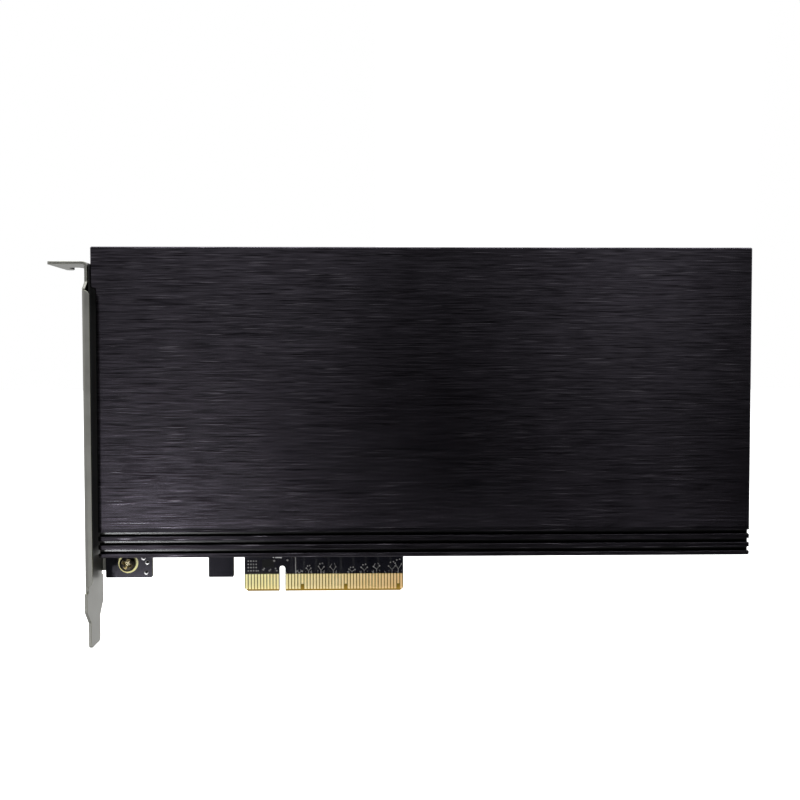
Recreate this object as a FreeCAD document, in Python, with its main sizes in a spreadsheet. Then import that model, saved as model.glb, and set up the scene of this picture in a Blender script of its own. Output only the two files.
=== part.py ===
import FreeCAD, Part
import os
import re
import Sketcher

# Adapter card for four drive modules: a full-height expansion card under one flat aluminium cover.
#
# Millimetres, +Z up. The origin lies on the lowest line of the edge connector, at the middle of its
# key notch and in the board's mid-plane. +X runs along the card, away from the slot bracket, and -Y
# is the component side, where the cover is. Levels are counted from the mid-plane towards -Y.

SIZES = {
    # how far a cut runs past the face it opens
    "overcut": 1.0,
    # board
    "board_thickness": 1.57,
    "board_top": 110.0,
    "board_floor": 12.4,
    "board_bracket_gap": 1.49,
    "board_corner": 1.5,
    "router_radius": 0.8,
    "tongue_bottom": 4.72,
    "tongue_corner": 0.4,
    "bracket_tongue_width": 14.85,
    "small_tongue_width": 8.0,
    "small_tongue_gap": 3.55,
    # edge connector
    "key_width": 1.9,
    "key_depth": 8.25,
    "contact_pitch": 1.0,
    "contact_width": 0.7,
    "contact_thickness": 0.05,
    "contact_top": 5.6,
    "contact_tip": 0.65,
    "presence_tip": 2.35,
    "contact_to_key": 1.5,
    "short_row_count": 11,
    "long_row_count": 38,
    "contact_margin": 0.65,
    "bevel_height": 1.3,
    "bevel_depth": 0.47,
    "connector_corner": 1.0,
    # slot bracket, one folded sheet
    "key_to_bracket": 59.05,
    "sheet_thickness": 0.86,
    "bend_radius": 0.5,
    "bracket_width": 18.42,
    "bracket_height": 120.02,
    "bracket_top": 105.04,
    "neck_width": 14.63,
    "neck_bottom": 98.75,
    "jog_height": 2.15,
    "lip_top": 95.9,
    "lip_bottom": 5.2,
    "lip_width": 2.5,
    "lip_corner": 1.5,
    "shoulder_top": 2.9,
    "shoulder_bottom": -2.8,
    "taper_height": 4.2,
    "tail_width": 10.19,
    "tail_corner": 1.2,
    "tab_depth": 11.43,
    "tab_width": 21.59,
    "tab_corner": 1.0,
    "slot_width": 4.42,
    "slot_to_face": 6.35,
    "slot_depth": 9.7,
    "slot_flare": 1.0,
    "slot_flare_length": 2.0,
    "ear_reach": 9.55,
    "ear_width": 5.2,
    "ear_diameter": 8.6,
    "relief_width": 1.2,
    "relief_spare": 0.1,
    "lower_hole_height": 9.4,
    "upper_hole_inset": 15.2,
    "upper_hole_drop": 10.24,
    # bracket screws and the plated rings under them
    "ring_width": 1.6,
    "ring_thickness": 0.05,
    "pan_head_diameter": 5.1,
    "pan_head_height": 1.9,
    "pan_head_rounding": 0.85,
    "bracket_screw_diameter": 2.9,
    "bracket_screw_clearance": 0.3,
    "thread_clearance": 0.1,
    "screw_end": 0.8,
    # cover
    "cover_top_inset": 0.25,
    "cover_floor_gap": 0.65,
    "cover_thickness": 4.7,
    "cover_bracket_gap": 0.5,
    "cover_overhang": 1.0,
    "cover_step": 1.49,
    "cover_step_height": 12.9,
    "cover_step_rounding": 0.9,
    "cover_corner": 0.5,
    "cover_edge_break": 0.25,
    "groove_count": 3,
    "groove_width": 1.35,
    "groove_pitch": 2.7,
    "groove_depth": 2.0,
    "lowest_rib": 1.25,
    # spacers and screws that carry the cover
    "spacer_height": 5.8,
    "spacer_flats": 4.5,
    "fixing_inset": 7.19,
    "fixing_top_inset": 4.75,
    "fixing_bottom_inset": 11.95,
    "fixing_columns": 3,
    "fixing_rows": 2,
    "cover_screw_diameter": 2.4,
    "cover_screw_clearance": 0.3,
    "cover_screw_bite": 3.0,
    "cover_hole_spare": 0.4,
    "flat_head_diameter": 4.5,
    "flat_head_height": 1.3,
    "flat_head_edge": 0.4,
    # drive sockets, their standoffs and pads
    "socket_width": 21.9,
    "socket_depth": 7.6,
    "socket_roof": 0.9,
    "socket_cheek": 0.85,
    "socket_lip": 1.1,
    "socket_lip_height": 1.9,
    "socket_half_gap": 3.0,
    "socket_back_chamfer": 0.6,
    "slot_floor": 2.35,
    "slot_height": 0.95,
    "slot_back": 3.3,
    "slot_lead_in": 0.3,
    "slot_lead_in_depth": 0.6,
    "hood_setback": 1.2,
    "key_offset": 6.125,
    "key_rib": 1.0,
    "key_rib_depth": 2.9,
    "peg_offset": 9.6,
    "peg_back": 1.9,
    "peg_diameter": 1.4,
    "peg_length": 1.2,
    "peg_clearance": 0.1,
    "module_length": 80.0,
    "upper_row_inset": 14.25,
    "row_pitch": 26.5,
    "standoff_margin": 16.7,
    "standoff_height": 2.45,
    "standoff_diameter": 4.2,
    "standoff_thread": 2.0,
    "standoff_spigot": 3.4,
    "standoff_spigot_length": 1.3,
    "standoff_clearance": 0.1,
    "drive_pad_length": 70.0,
    "drive_pad_width": 20.0,
    "drive_pad_thickness": 1.3,
    # switch chip
    "chip_offset": 23.3,
    "chip_size": 19.0,
    "chip_ball_field": 17.6,
    "chip_ball_height": 0.45,
    "chip_substrate": 1.15,
    "chip_lid": 13.0,
    "chip_lid_height": 1.0,
    "chip_lid_edge": 0.35,
    "chip_pad_size": 18.0,
    # power stages
    "phase_count": 4,
    "phase_end": 19.81,
}

# Places worked out from the sizes.
PLACES = {
    "front": "board_thickness / 2",
    "plate_outer": "-key_to_bracket",
    "plate_inner": "-key_to_bracket + sheet_thickness",
    "plate_rear": "-(front + sheet_thickness)",
    "plate_front": "plate_rear + bracket_width",
    "outer_bend": "bend_radius + sheet_thickness",
    "bend_edge": "plate_front - outer_bend",
    "neck_front": "plate_rear + neck_width",
    "tail_bottom": "bracket_top - bracket_height",
    "tail_rear": "plate_rear + (bracket_width - tail_width) / 2",
    "tail_front": "tail_rear + tail_width",
    "tab_end": "plate_outer - tab_depth",
    "tab_rear": "neck_front - tab_width",
    "slot_x": "plate_outer - slot_to_face",
    "slot_end": "tab_rear + slot_depth - slot_width / 2",
    "bracket_hole_x": "plate_outer + ear_reach",
    "bracket_hole": "bracket_screw_diameter + bracket_screw_clearance",
    "ring_diameter": "bracket_hole + 2 * ring_width",
    # the upper ear has to lie on the bracket and on the board, whichever ends lower
    "upper_hole_height": "min(board_top - upper_hole_inset; bracket_top - upper_hole_drop)",
    "board_left": "plate_inner + board_bracket_gap",
    "board_right": "cover_right - cover_overhang",
    "bracket_tongue_right": "board_left + bracket_tongue_width",
    "short_end": "-(contact_to_key + contact_pitch * (short_row_count - 1) + contact_margin)",
    "long_end": "contact_to_key + contact_pitch * (long_row_count - 1) + contact_margin",
    "small_tongue_right": "short_end - small_tongue_gap",
    "small_tongue_left": "small_tongue_right - small_tongue_width",
    "cover_left": "plate_inner + cover_bracket_gap",
    "cover_length": "2 * (standoff_distance + standoff_margin)",
    "cover_right": "cover_left + cover_length",
    "cover_top": "board_top - cover_top_inset",
    "cover_bottom": "board_floor + cover_floor_gap",
    "cover_step_x": "cover_left + cover_step",
    "cover_step_z": "cover_top - cover_step_height",
    "cover_inner": "front + spacer_height",
    "cover_outer": "cover_inner + cover_thickness",
    "card_middle": "(cover_left + cover_right) / 2",
    "fixing_left": "cover_left + fixing_inset",
    "fixing_run": "cover_length - 2 * fixing_inset",
    "fixing_bottom": "cover_bottom + fixing_bottom_inset",
    "fixing_rise": "cover_top - fixing_top_inset - fixing_bottom",
    "phase_pitch": "(fixing_run / 2 - phase_end) / phase_count",
    "spacer_bore": "cover_screw_diameter + cover_screw_clearance",
    "upper_row": "cover_top - upper_row_inset",
    "lower_row": "upper_row - row_pitch",
    "socket_height": "slot_floor + slot_height + socket_roof",
    "slot_span": "socket_width - 2 * socket_cheek",
    "hood_depth": "socket_depth - hood_setback",
    "standoff_distance": "socket_half_gap + slot_back + module_length",
    "drive_pad_middle": "socket_half_gap + (slot_back + module_length + hood_depth) / 2",
    "pad_face": "cover_inner - drive_pad_thickness",
    "chip_x": "card_middle - chip_offset",
    "strip_middle": "(board_floor + lower_row - socket_width / 2) / 2",
    "chip_top": "front + chip_ball_height + chip_substrate + chip_lid_height",
}

# Soldered parts that stand in straight rows: the board's face, what the first one's middle is counted
# from along X and up Z, and its sizes. Of the strip under the sockets, strip_middle is the mid height.
# The power stages share the run between the middle and the last cover screw, one pitch to a stage.
ROWS = {
    "power_inductors": ("front", "card_middle", "strip_middle", {
        "along": 20.7, "rise": 6.8, "length": 7.0, "width": 7.0, "height": 3.0, "corner": 0.9,
        "pitch": "phase_pitch", "count": "phase_count"}),
    "voltage_regulators": ("front", "card_middle", "strip_middle", {
        "along": 20.7, "rise": -2.2, "length": 5.0, "width": 6.0, "height": 0.9,
        "pitch": "phase_pitch", "count": "phase_count"}),
    "bulk_capacitors": ("front", "card_middle", "strip_middle", {
        "along": 28.2, "rise": -6.2, "length": 4.3, "width": 7.3, "height": 2.8,
        "pitch": "phase_pitch", "count": "phase_count", "line_pitch": 13.5, "lines": 2}),
    "ceramic_capacitors": ("front", "card_middle", "strip_middle", {
        "along": 16.2, "rise": -9.2, "length": 1.6, "width": 3.2, "height": 1.2,
        "pitch": "phase_pitch", "count": "phase_count", "line_pitch": 13.5, "lines": 2}),
    "output_capacitors": ("front", "card_middle", "strip_middle", {
        "along": 17.9, "rise": 13.2, "length": 1.6, "width": 3.2, "height": 1.2,
        "pitch": "phase_pitch", "count": "phase_count"}),
    "clock_buffer": ("front", "chip_x", "strip_middle", {
        "along": -24.0, "rise": 6.8, "length": 6.0, "width": 6.0, "height": 0.9}),
    "clock_crystal": ("front", "chip_x", "strip_middle", {
        "along": -33.0, "rise": 6.8, "length": 5.0, "width": 3.2, "height": 1.1, "corner": 0.5}),
    "configuration_memory": ("front", "chip_x", "strip_middle", {
        "along": -30.0, "rise": -5.2, "length": 4.9, "width": 3.9, "height": 1.5}),
    "input_fuse": ("front", "small_tongue_right", "board_floor", {
        "along": -3.3, "rise": 7.6, "length": 6.1, "width": 2.7, "height": 2.1}),
    "indicator_leds": ("front", "card_middle", "board_top", {
        "along": 54.7, "rise": -1.6, "length": 1.6, "width": 0.8, "height": 0.7, "pitch": 6.0, "count": 5}),
    "led_resistors": ("front", "card_middle", "board_top", {
        "along": 57.7, "rise": -1.6, "length": 1.6, "width": 0.8, "height": 0.5, "pitch": 6.0, "count": 5}),
    "coupling_capacitors": ("back", "contact_to_key", "board_floor", {
        "along": 0.8, "rise": 4.0, "length": 0.5, "width": 1.0, "height": 0.5, "pitch": 2.3, "count": 16}),
    "decoupling_capacitors": ("back", "chip_x", "strip_middle", {
        "along": -5.25, "rise": -5.25, "length": 1.0, "width": 0.5, "height": 0.5, "pitch": 3.5, "count": 4,
        "line_pitch": 3.5, "lines": 4}),
}
for row_name, (_, _, _, row_sizes) in ROWS.items():
    for size_name, size in row_sizes.items():
        # a size given by a formula is a place like the others
        table = PLACES if isinstance(size, str) else SIZES
        table[f"{row_name}_{size_name}"] = size

# Two of a body's corners share a coordinate if they are nearer than this.
NEAR = 1e-4

document = FreeCAD.newDocument("adapter_card")
sheet = document.addObject("Spreadsheet::Sheet", "Sizes")


def fill_sheet():
    for row, (alias, size) in enumerate(SIZES.items(), start=1):
        sheet.set(f"A{row}", alias)
        sheet.set(f"B{row}", str(size))
        sheet.setAlias(f"B{row}", alias)
    document.recompute()


def bound(text):
    """Turn a formula in the sizes' and places' own names into one that the document can evaluate."""
    def swap(match):
        word = match.group()
        if word in PLACES:
            return f"({bound(PLACES[word])})"
        return f"Sizes.{word}" if word in SIZES else word
    return re.sub(r"[a-z][a-z_]+", swap, str(text))


def value(text):
    return float(sheet.evalExpression(bound(text)))


# ---- sketches ----

def new_body(name):
    body = document.addObject("PartDesign::Body", name)
    body.Label = name
    return body


def origin_feature(body, role):
    return next(feature for feature in body.Origin.OriginFeatures if feature.Role == role)


def new_sketch(body, plane="XZ_Plane", level="0"):
    sketch = body.newObject("Sketcher::SketchObject", f"{body.Name}_outline")
    sketch.AttachmentSupport = [(origin_feature(body, plane), "")]
    sketch.MapMode = "FlatFace"
    sketch.setExpression("AttachmentOffset.Base.z", bound(level))
    return sketch


def bind(sketch, constraint, text):
    index = sketch.addConstraint(constraint)
    sketch.setExpression(f"Constraints[{index}]", bound(text))


def pin(sketch, edge, point, across, up):
    bind(sketch, Sketcher.Constraint("DistanceX", -1, 1, edge, point, value(across)), across)
    bind(sketch, Sketcher.Constraint("DistanceY", -1, 1, edge, point, value(up)), up)


def polygon(sketch, points):
    places = [FreeCAD.Vector(value(across), value(up), 0) for across, up in points]
    ends = places[1:] + places[:1]
    edges = [sketch.addGeometry(Part.LineSegment(a, b), False) for a, b in zip(places, ends)]
    for number, edge in enumerate(edges):
        following = edges[(number + 1) % len(edges)]
        sketch.addConstraint(Sketcher.Constraint("Coincident", edge, 2, following, 1))
        pin(sketch, edge, 1, *points[number])


def rectangle(sketch, left, right, low, high):
    polygon(sketch, [(left, low), (right, low), (right, high), (left, high)])


def circle(sketch, across, up, diameter):
    centre = FreeCAD.Vector(value(across), value(up), 0)
    edge = sketch.addGeometry(Part.Circle(centre, FreeCAD.Vector(0, 0, 1), value(diameter) / 2), False)
    pin(sketch, edge, 3, across, up)
    bind(sketch, Sketcher.Constraint("Diameter", edge, value(diameter)), diameter)


def round_slot(sketch, middle, low, centre, width):
    """A slot that is open at its low end and ends in a half circle about its centre."""
    left, right = f"({middle}) - ({width}) / 2", f"({middle}) + ({width}) / 2"
    corners = [(right, centre), (right, low), (left, low), (left, centre)]
    places = [FreeCAD.Vector(value(across), value(up), 0) for across, up in corners]
    hub = FreeCAD.Vector(value(middle), value(centre), 0)
    crown = hub + FreeCAD.Vector(0, value(width) / 2, 0)
    arc = sketch.addGeometry(Part.Arc(places[0], crown, places[3]), False)
    lines = [sketch.addGeometry(Part.LineSegment(a, b), False) for a, b in zip(places, places[1:])]
    for number, line in enumerate(lines):
        pin(sketch, line, 1, *corners[number])
    pin(sketch, lines[-1], 2, *corners[-1])
    sketch.addConstraint(Sketcher.Constraint("Coincident", lines[0], 2, lines[1], 1))
    sketch.addConstraint(Sketcher.Constraint("Coincident", lines[1], 2, lines[2], 1))
    sketch.addConstraint(Sketcher.Constraint("Coincident", arc, 1, lines[0], 1))
    sketch.addConstraint(Sketcher.Constraint("Coincident", arc, 2, lines[-1], 2))
    bind(sketch, Sketcher.Constraint("DistanceY", -1, 1, arc, 3, value(centre)), centre)


# ---- features ----

def pad(body, sketch, length, backwards=False, both_ways=False):
    feature = body.newObject("PartDesign::Pad", f"{body.Name}_pad")
    feature.Profile = sketch
    feature.setExpression("Length", bound(length))
    feature.Reversed = backwards
    feature.Midplane = both_ways
    document.recompute()
    return feature


def pocket(body, sketch, depth=None, backwards=False):
    """Cut to a depth against the sketch's normal (along it if backwards), or both ways through all."""
    before = body.Shape.Volume
    feature = body.newObject("PartDesign::Pocket", f"{body.Name}_pocket")
    feature.Profile = sketch
    if depth is None:
        feature.Type = "ThroughAll"
        feature.Midplane = True
    else:
        feature.setExpression("Length", bound(depth))
        feature.Reversed = backwards
    document.recompute()
    if body.Shape.Volume >= before:
        raise ValueError(f"{feature.Name} cuts nothing")
    return feature


def edges_at(body, x=None, y=None, z=None, low=None, high=None):
    """Name a body's edges whose ends both lie at the coordinates given, and between two heights."""
    wanted = [None if text is None else value(text) for text in (x, y, z)]
    floor = float("-inf") if low is None else value(low)
    ceiling = float("inf") if high is None else value(high)
    names = []
    for number, edge in enumerate(body.Tip.Shape.Edges, start=1):
        ends = [vertex.Point for vertex in edge.Vertexes]
        matches = all(want is None or abs(end[axis] - want) < NEAR
                      for end in ends for axis, want in enumerate(wanted))
        if matches and all(floor - NEAR < end.z < ceiling + NEAR for end in ends):
            names.append(f"Edge{number}")
    return names


def dress(body, kind, edges, size):
    """Fillet or chamfer the named edges of a body."""
    if not edges:
        raise ValueError(f"{body.Name} has no edge to {kind}")
    base = body.Tip
    feature = body.newObject(f"PartDesign::{kind}", f"{body.Name}_{kind.lower()}")
    feature.Base = (base, edges)
    feature.setExpression("Radius" if kind == "Fillet" else "Size", bound(size))
    document.recompute()
    if feature.Shape.isNull():
        raise ValueError(f"{feature.Name} did not form")
    return feature


def repeat(body, feature, axis, run, count, second=None):
    """Repeat a feature along one origin axis, and along a second one if it is given."""
    pattern = body.newObject("PartDesign::LinearPattern", f"{body.Name}_pattern")
    pattern.Originals = [feature]
    pattern.Direction = (origin_feature(body, axis), [""])
    pattern.setExpression("Length", bound(run))
    pattern.setExpression("Occurrences", bound(count))
    if second:
        axis, run, count = second
        pattern.Direction2 = (origin_feature(body, axis), [""])
        pattern.setExpression("Length2", bound(run))
        pattern.setExpression("Occurrences2", bound(count))
    body.Tip = pattern
    document.recompute()
    return pattern


def at_fixings(body, feature):
    """Repeat what is made at the lowest left fixing at all of the cover's fixings."""
    return repeat(body, feature, "X_Axis", "fixing_run", "fixing_columns",
                  ("Z_Axis", "fixing_rise", "fixing_rows"))


# ---- the board and what is plated on it ----

def sockets():
    """The four drive sockets: which way the mouth faces along X, and the row's height."""
    return [(side, row) for row in ("upper_row", "lower_row") for side in (-1, 1)]


def make_board():
    body = new_body("circuit_board")
    outline = new_sketch(body)
    polygon(outline, [
        ("board_left", "tongue_bottom"), ("board_left", "board_top"),
        ("board_right", "board_top"), ("board_right", "board_floor"),
        ("long_end", "board_floor"), ("long_end", "connector_corner"),
        ("long_end - connector_corner", "0"), ("short_end + connector_corner", "0"),
        ("short_end", "connector_corner"), ("short_end", "board_floor"),
        ("small_tongue_right", "board_floor"), ("small_tongue_right", "tongue_bottom"),
        ("small_tongue_left", "tongue_bottom"), ("small_tongue_left", "board_floor"),
        ("bracket_tongue_right", "board_floor"), ("bracket_tongue_right", "tongue_bottom"),
    ])
    pad(body, outline, "board_thickness", both_ways=True)

    tongue_sides = ("bracket_tongue_right", "small_tongue_left", "small_tongue_right")
    roots = [name for x in (*tongue_sides, "short_end", "long_end")
             for name in edges_at(body, x=x, z="board_floor")]
    dress(body, "Fillet", roots, "router_radius")
    tips = [name for x in ("board_left", *tongue_sides) for name in edges_at(body, x=x, z="tongue_bottom")]
    dress(body, "Fillet", tips, "tongue_corner")
    dress(body, "Fillet", edges_at(body, x="board_left", z="board_top")
          + edges_at(body, x="board_right", z="board_top")
          + edges_at(body, x="board_right", z="board_floor"), "board_corner")

    key = new_sketch(body)
    round_slot(key, "0", "-overcut", "key_depth - key_width / 2", "key_width")
    pocket(body, key)

    # each wedge runs past the face above the bevel and past the board's edge below it
    bevel = new_sketch(body, "YZ_Plane")
    for side in ("", "-"):
        polygon(bevel, [(f"{side}(front + overcut)", "bevel_height * (1 + overcut / bevel_depth)"),
                        (f"{side}(front + overcut)", "-bevel_height"),
                        (f"{side}(front - 2 * bevel_depth)", "-bevel_height")])
    pocket(body, bevel)

    holes = new_sketch(body)
    for height in ("lower_hole_height", "upper_hole_height"):
        circle(holes, "bracket_hole_x", height, "bracket_hole")
    for side, row in sockets():
        circle(holes, f"card_middle + {side} * standoff_distance", row,
               "standoff_spigot + standoff_clearance")
        for end in (-1, 1):
            circle(holes, f"card_middle + {side} * (socket_half_gap + peg_back)",
                   f"{row} + {end} * peg_offset", "peg_diameter + peg_clearance")
    pocket(body, holes)

    fixing = new_sketch(body)
    circle(fixing, "fixing_left", "fixing_bottom", "spacer_bore")
    at_fixings(body, pocket(body, fixing))
    return body


def make_contacts(name, side, short_contacts):
    """Plated contacts that run down one face and onto the bevel: side is 1 in front, -1 behind."""
    body = new_body(name)

    def strip(first, count):
        profile = new_sketch(body, "YZ_Plane", f"{first} - contact_width / 2")
        # the bevel's face at the height of the contact's tip
        tip_face = "front - bevel_depth * (1 - contact_tip / bevel_height)"
        section = [("front", "contact_top"), ("front + contact_thickness", "contact_top"),
                   ("front + contact_thickness", "bevel_height"),
                   (f"{tip_face} + contact_thickness", "contact_tip"),
                   (tip_face, "contact_tip"), ("front", "bevel_height")]
        polygon(profile, [(f"{-side} * ({depth})", up) for depth, up in section])
        first_contact = pad(body, profile, "contact_width")
        repeat(body, first_contact, "X_Axis", f"contact_pitch * ({count} - 1)", count)

    strip("-(contact_to_key + contact_pitch * (short_row_count - 1))", "short_row_count")
    strip("contact_to_key", "long_row_count")

    # the presence contacts are shorter than the rest
    trim = new_sketch(body)
    for place in short_contacts:
        rectangle(trim, f"{place} - contact_pitch / 2", f"{place} + contact_pitch / 2",
                  "-contact_tip", "presence_tip")
    pocket(body, trim)
    return body


def make_rings():
    body = new_body("bracket_hole_rings")
    rings = new_sketch(body, level="front")
    for height in ("lower_hole_height", "upper_hole_height"):
        circle(rings, "bracket_hole_x", height, "ring_diameter")
        circle(rings, "bracket_hole_x", height, "bracket_hole")
    pad(body, rings, "ring_thickness")
    return body


# ---- the slot bracket and its screws ----

def make_bracket():
    """One folded sheet: plate, front lip, chassis tab on top and two ears behind the board."""
    body = new_body("io_bracket")
    plate = new_sketch(body, "YZ_Plane", "plate_outer")
    polygon(plate, [(f"-({level})", height) for level, height in [
        ("neck_front", "bracket_top"), ("neck_front", "neck_bottom"),
        ("bend_edge", "neck_bottom - jog_height"), ("bend_edge", "lip_top"),
        ("plate_front", "lip_top"), ("plate_front", "lip_bottom"),
        ("bend_edge", "lip_bottom"), ("bend_edge", "shoulder_top"),
        ("plate_front", "shoulder_top"), ("plate_front", "shoulder_bottom"),
        ("tail_front", "shoulder_bottom - taper_height"), ("tail_front", "tail_bottom"),
        ("tail_rear", "tail_bottom"), ("tail_rear", "shoulder_bottom - taper_height"),
        ("plate_rear", "shoulder_bottom"), ("plate_rear", "bracket_top"),
    ]])
    pad(body, plate, "sheet_thickness")
    dress(body, "Fillet", edges_at(body, y="-(tail_front)", z="tail_bottom")
          + edges_at(body, y="-(tail_rear)", z="tail_bottom"), "tail_corner")

    lip = new_sketch(body, level="plate_front - sheet_thickness")
    rectangle(lip, "plate_outer", "plate_outer + lip_width", "lip_bottom", "lip_top")
    pad(body, lip, "sheet_thickness")
    free_edge = "plate_outer + lip_width"
    dress(body, "Fillet", edges_at(body, x=free_edge, z="lip_top")
          + edges_at(body, x=free_edge, z="lip_bottom"), "lip_corner")

    tab = new_sketch(body, "XY_Plane", "bracket_top - sheet_thickness")
    prong = "slot_x + slot_width / 2"
    polygon(tab, [("plate_inner", "-(neck_front)"), ("plate_inner", "-(plate_rear)"),
                  (prong, "-(plate_rear)"), (prong, "-(tab_rear)"),
                  ("tab_end", "-(tab_rear)"), ("tab_end", "-(neck_front)")])
    pad(body, tab, "sheet_thickness")

    dress(body, "Fillet", edges_at(body, x="plate_outer", y="-(plate_front)", low="lip_bottom")
          + edges_at(body, x="plate_inner", z="bracket_top"), "outer_bend")
    hollows = (edges_at(body, x="plate_inner", y="-(plate_front - sheet_thickness)")
               + edges_at(body, x="plate_outer", z="bracket_top - sheet_thickness"))
    dress(body, "Fillet", hollows, "bend_radius")

    cut_bracket_slot(body)
    fold_ears(body)
    return body


def cut_bracket_slot(body):
    """The chassis screw's slot runs in from the tab's rear edge, with a flared mouth."""
    slot = new_sketch(body, "XY_Plane", "bracket_top")
    prong = "slot_x - slot_width / 2"
    mouth = "-(tab_rear)"
    round_slot(slot, "slot_x", f"{mouth} + overcut", "-(slot_end)", "-slot_width")
    pocket(body, slot)
    flare = new_sketch(body, "XY_Plane", "bracket_top")
    polygon(flare, [(f"{prong} - slot_flare", mouth), (prong, f"{mouth} - slot_flare_length"),
                    (f"{prong} + slot_width / 2", mouth)])
    pocket(body, flare)
    dress(body, "Fillet", edges_at(body, x="tab_end", y=mouth)
          + edges_at(body, x="tab_end", y="-(neck_front)"), "tab_corner")


def fold_ears(body):
    """Two ears fold in from the rear edge, between relief cuts, and lie against the board's back."""
    half = "ear_width / 2"
    heights = ("lower_hole_height", "upper_hole_height")
    reliefs = new_sketch(body, "YZ_Plane")
    mouth = "-(plate_rear - overcut)"
    end = "-(plate_rear + outer_bend + relief_spare)"
    for height in heights:
        for side in ("-", "+"):
            near = f"{height} {side} {half}"
            far = f"{height} {side} ({half} + relief_width)"
            polygon(reliefs, [(mouth, near), (end, near), (end, far), (mouth, far)])
    pocket(body, reliefs)
    strips = new_sketch(body, level="plate_rear")
    for height in heights:
        rectangle(strips, "plate_outer", "bracket_hole_x", f"{height} - {half}", f"{height} + {half}")
    pad(body, strips, "sheet_thickness")
    lugs = new_sketch(body, level="plate_rear")
    for height in heights:
        circle(lugs, "bracket_hole_x", height, "ear_diameter")
    pad(body, lugs, "sheet_thickness")
    holes = new_sketch(body, level="plate_rear")
    for height in heights:
        circle(holes, "bracket_hole_x", height, "bracket_screw_diameter + thread_clearance")
    pocket(body, holes)

    def ear_edges(x, y):
        return [name for height in heights
                for name in edges_at(body, x=x, y=y, low=f"{height} - {half}", high=f"{height} + {half}")]

    dress(body, "Fillet", ear_edges("plate_outer", "-(plate_rear)"), "outer_bend")
    dress(body, "Fillet", ear_edges("plate_inner", "-(plate_rear + sheet_thickness)"), "bend_radius")


def make_bracket_screws():
    """Pan-head screws through the ringed holes into the bracket's ears."""
    body = new_body("bracket_screws")
    seat = "front + ring_thickness"
    heights = ("lower_hole_height", "upper_hole_height")
    shanks = new_sketch(body, level=seat)
    heads = new_sketch(body, level=seat)
    for height in heights:
        circle(shanks, "bracket_hole_x", height, "bracket_screw_diameter")
        circle(heads, "bracket_hole_x", height, "pan_head_diameter")
    pad(body, shanks, "ring_thickness + board_thickness + sheet_thickness + screw_end", backwards=True)
    pad(body, heads, "pan_head_height")
    dress(body, "Fillet", edges_at(body, y=f"-({seat} + pan_head_height)"), "pan_head_rounding")
    return body


# ---- the cover and what carries it ----

def make_cover():
    body = new_body("heatsink_cover")
    outline = new_sketch(body, level="cover_inner")
    polygon(outline, [("cover_left", "cover_top"), ("cover_right", "cover_top"),
                      ("cover_right", "cover_bottom"), ("cover_step_x", "cover_bottom"),
                      ("cover_step_x", "cover_step_z"), ("cover_left", "cover_step_z")])
    pad(body, outline, "cover_thickness")
    dress(body, "Fillet", edges_at(body, x="cover_left", z="cover_step_z"), "cover_step_rounding")
    dress(body, "Fillet", edges_at(body, x="cover_left", z="cover_top")
          + edges_at(body, x="cover_right", z="cover_top")
          + edges_at(body, x="cover_right", z="cover_bottom")
          + edges_at(body, x="cover_step_x", z="cover_bottom")
          + edges_at(body, x="cover_step_x", z="cover_step_z"), "cover_corner")
    dress(body, "Chamfer", edges_at(body, y="-(cover_outer)"), "cover_edge_break")

    groove = new_sketch(body, "YZ_Plane")
    rectangle(groove, "-(cover_outer + overcut)", "-(cover_outer - groove_depth)",
              "cover_bottom + lowest_rib", "cover_bottom + lowest_rib + groove_width")
    first_groove = pocket(body, groove)
    repeat(body, first_groove, "Z_Axis", "groove_pitch * (groove_count - 1)", "groove_count")

    tapped = new_sketch(body, level="cover_inner")
    circle(tapped, "fixing_left", "fixing_bottom", "cover_screw_diameter + thread_clearance")
    hole = pocket(body, tapped, "cover_screw_bite + cover_hole_spare", backwards=True)
    at_fixings(body, hole)
    return body


def make_spacers():
    """Hexagonal spacers between the board and the cover, standing on two of their corners."""
    body = new_body("cover_spacers")
    section = new_sketch(body, level="front")
    radius = "spacer_flats / (2 * cos(30 deg))"
    polygon(section, [(f"fixing_left + {radius} * sin({turn} deg)",
                       f"fixing_bottom + {radius} * cos({turn} deg)") for turn in range(0, 360, 60)])
    circle(section, "fixing_left", "fixing_bottom", "spacer_bore")
    at_fixings(body, pad(body, section, "spacer_height"))
    return body


def make_cover_screws():
    """Flat-head screws from behind the board, through the spacers into the cover."""
    body = new_body("cover_screws")
    shank = new_sketch(body, level="-(front)")
    circle(shank, "fixing_left", "fixing_bottom", "cover_screw_diameter")
    at_fixings(body, pad(body, shank, "board_thickness + spacer_height + cover_screw_bite"))
    head = new_sketch(body, level="-(front)")
    circle(head, "fixing_left", "fixing_bottom", "flat_head_diameter")
    at_fixings(body, pad(body, head, "flat_head_height", backwards=True))
    dress(body, "Chamfer", edges_at(body, y="front + flat_head_height"), "flat_head_edge")
    return body


# ---- drive bays ----

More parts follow.
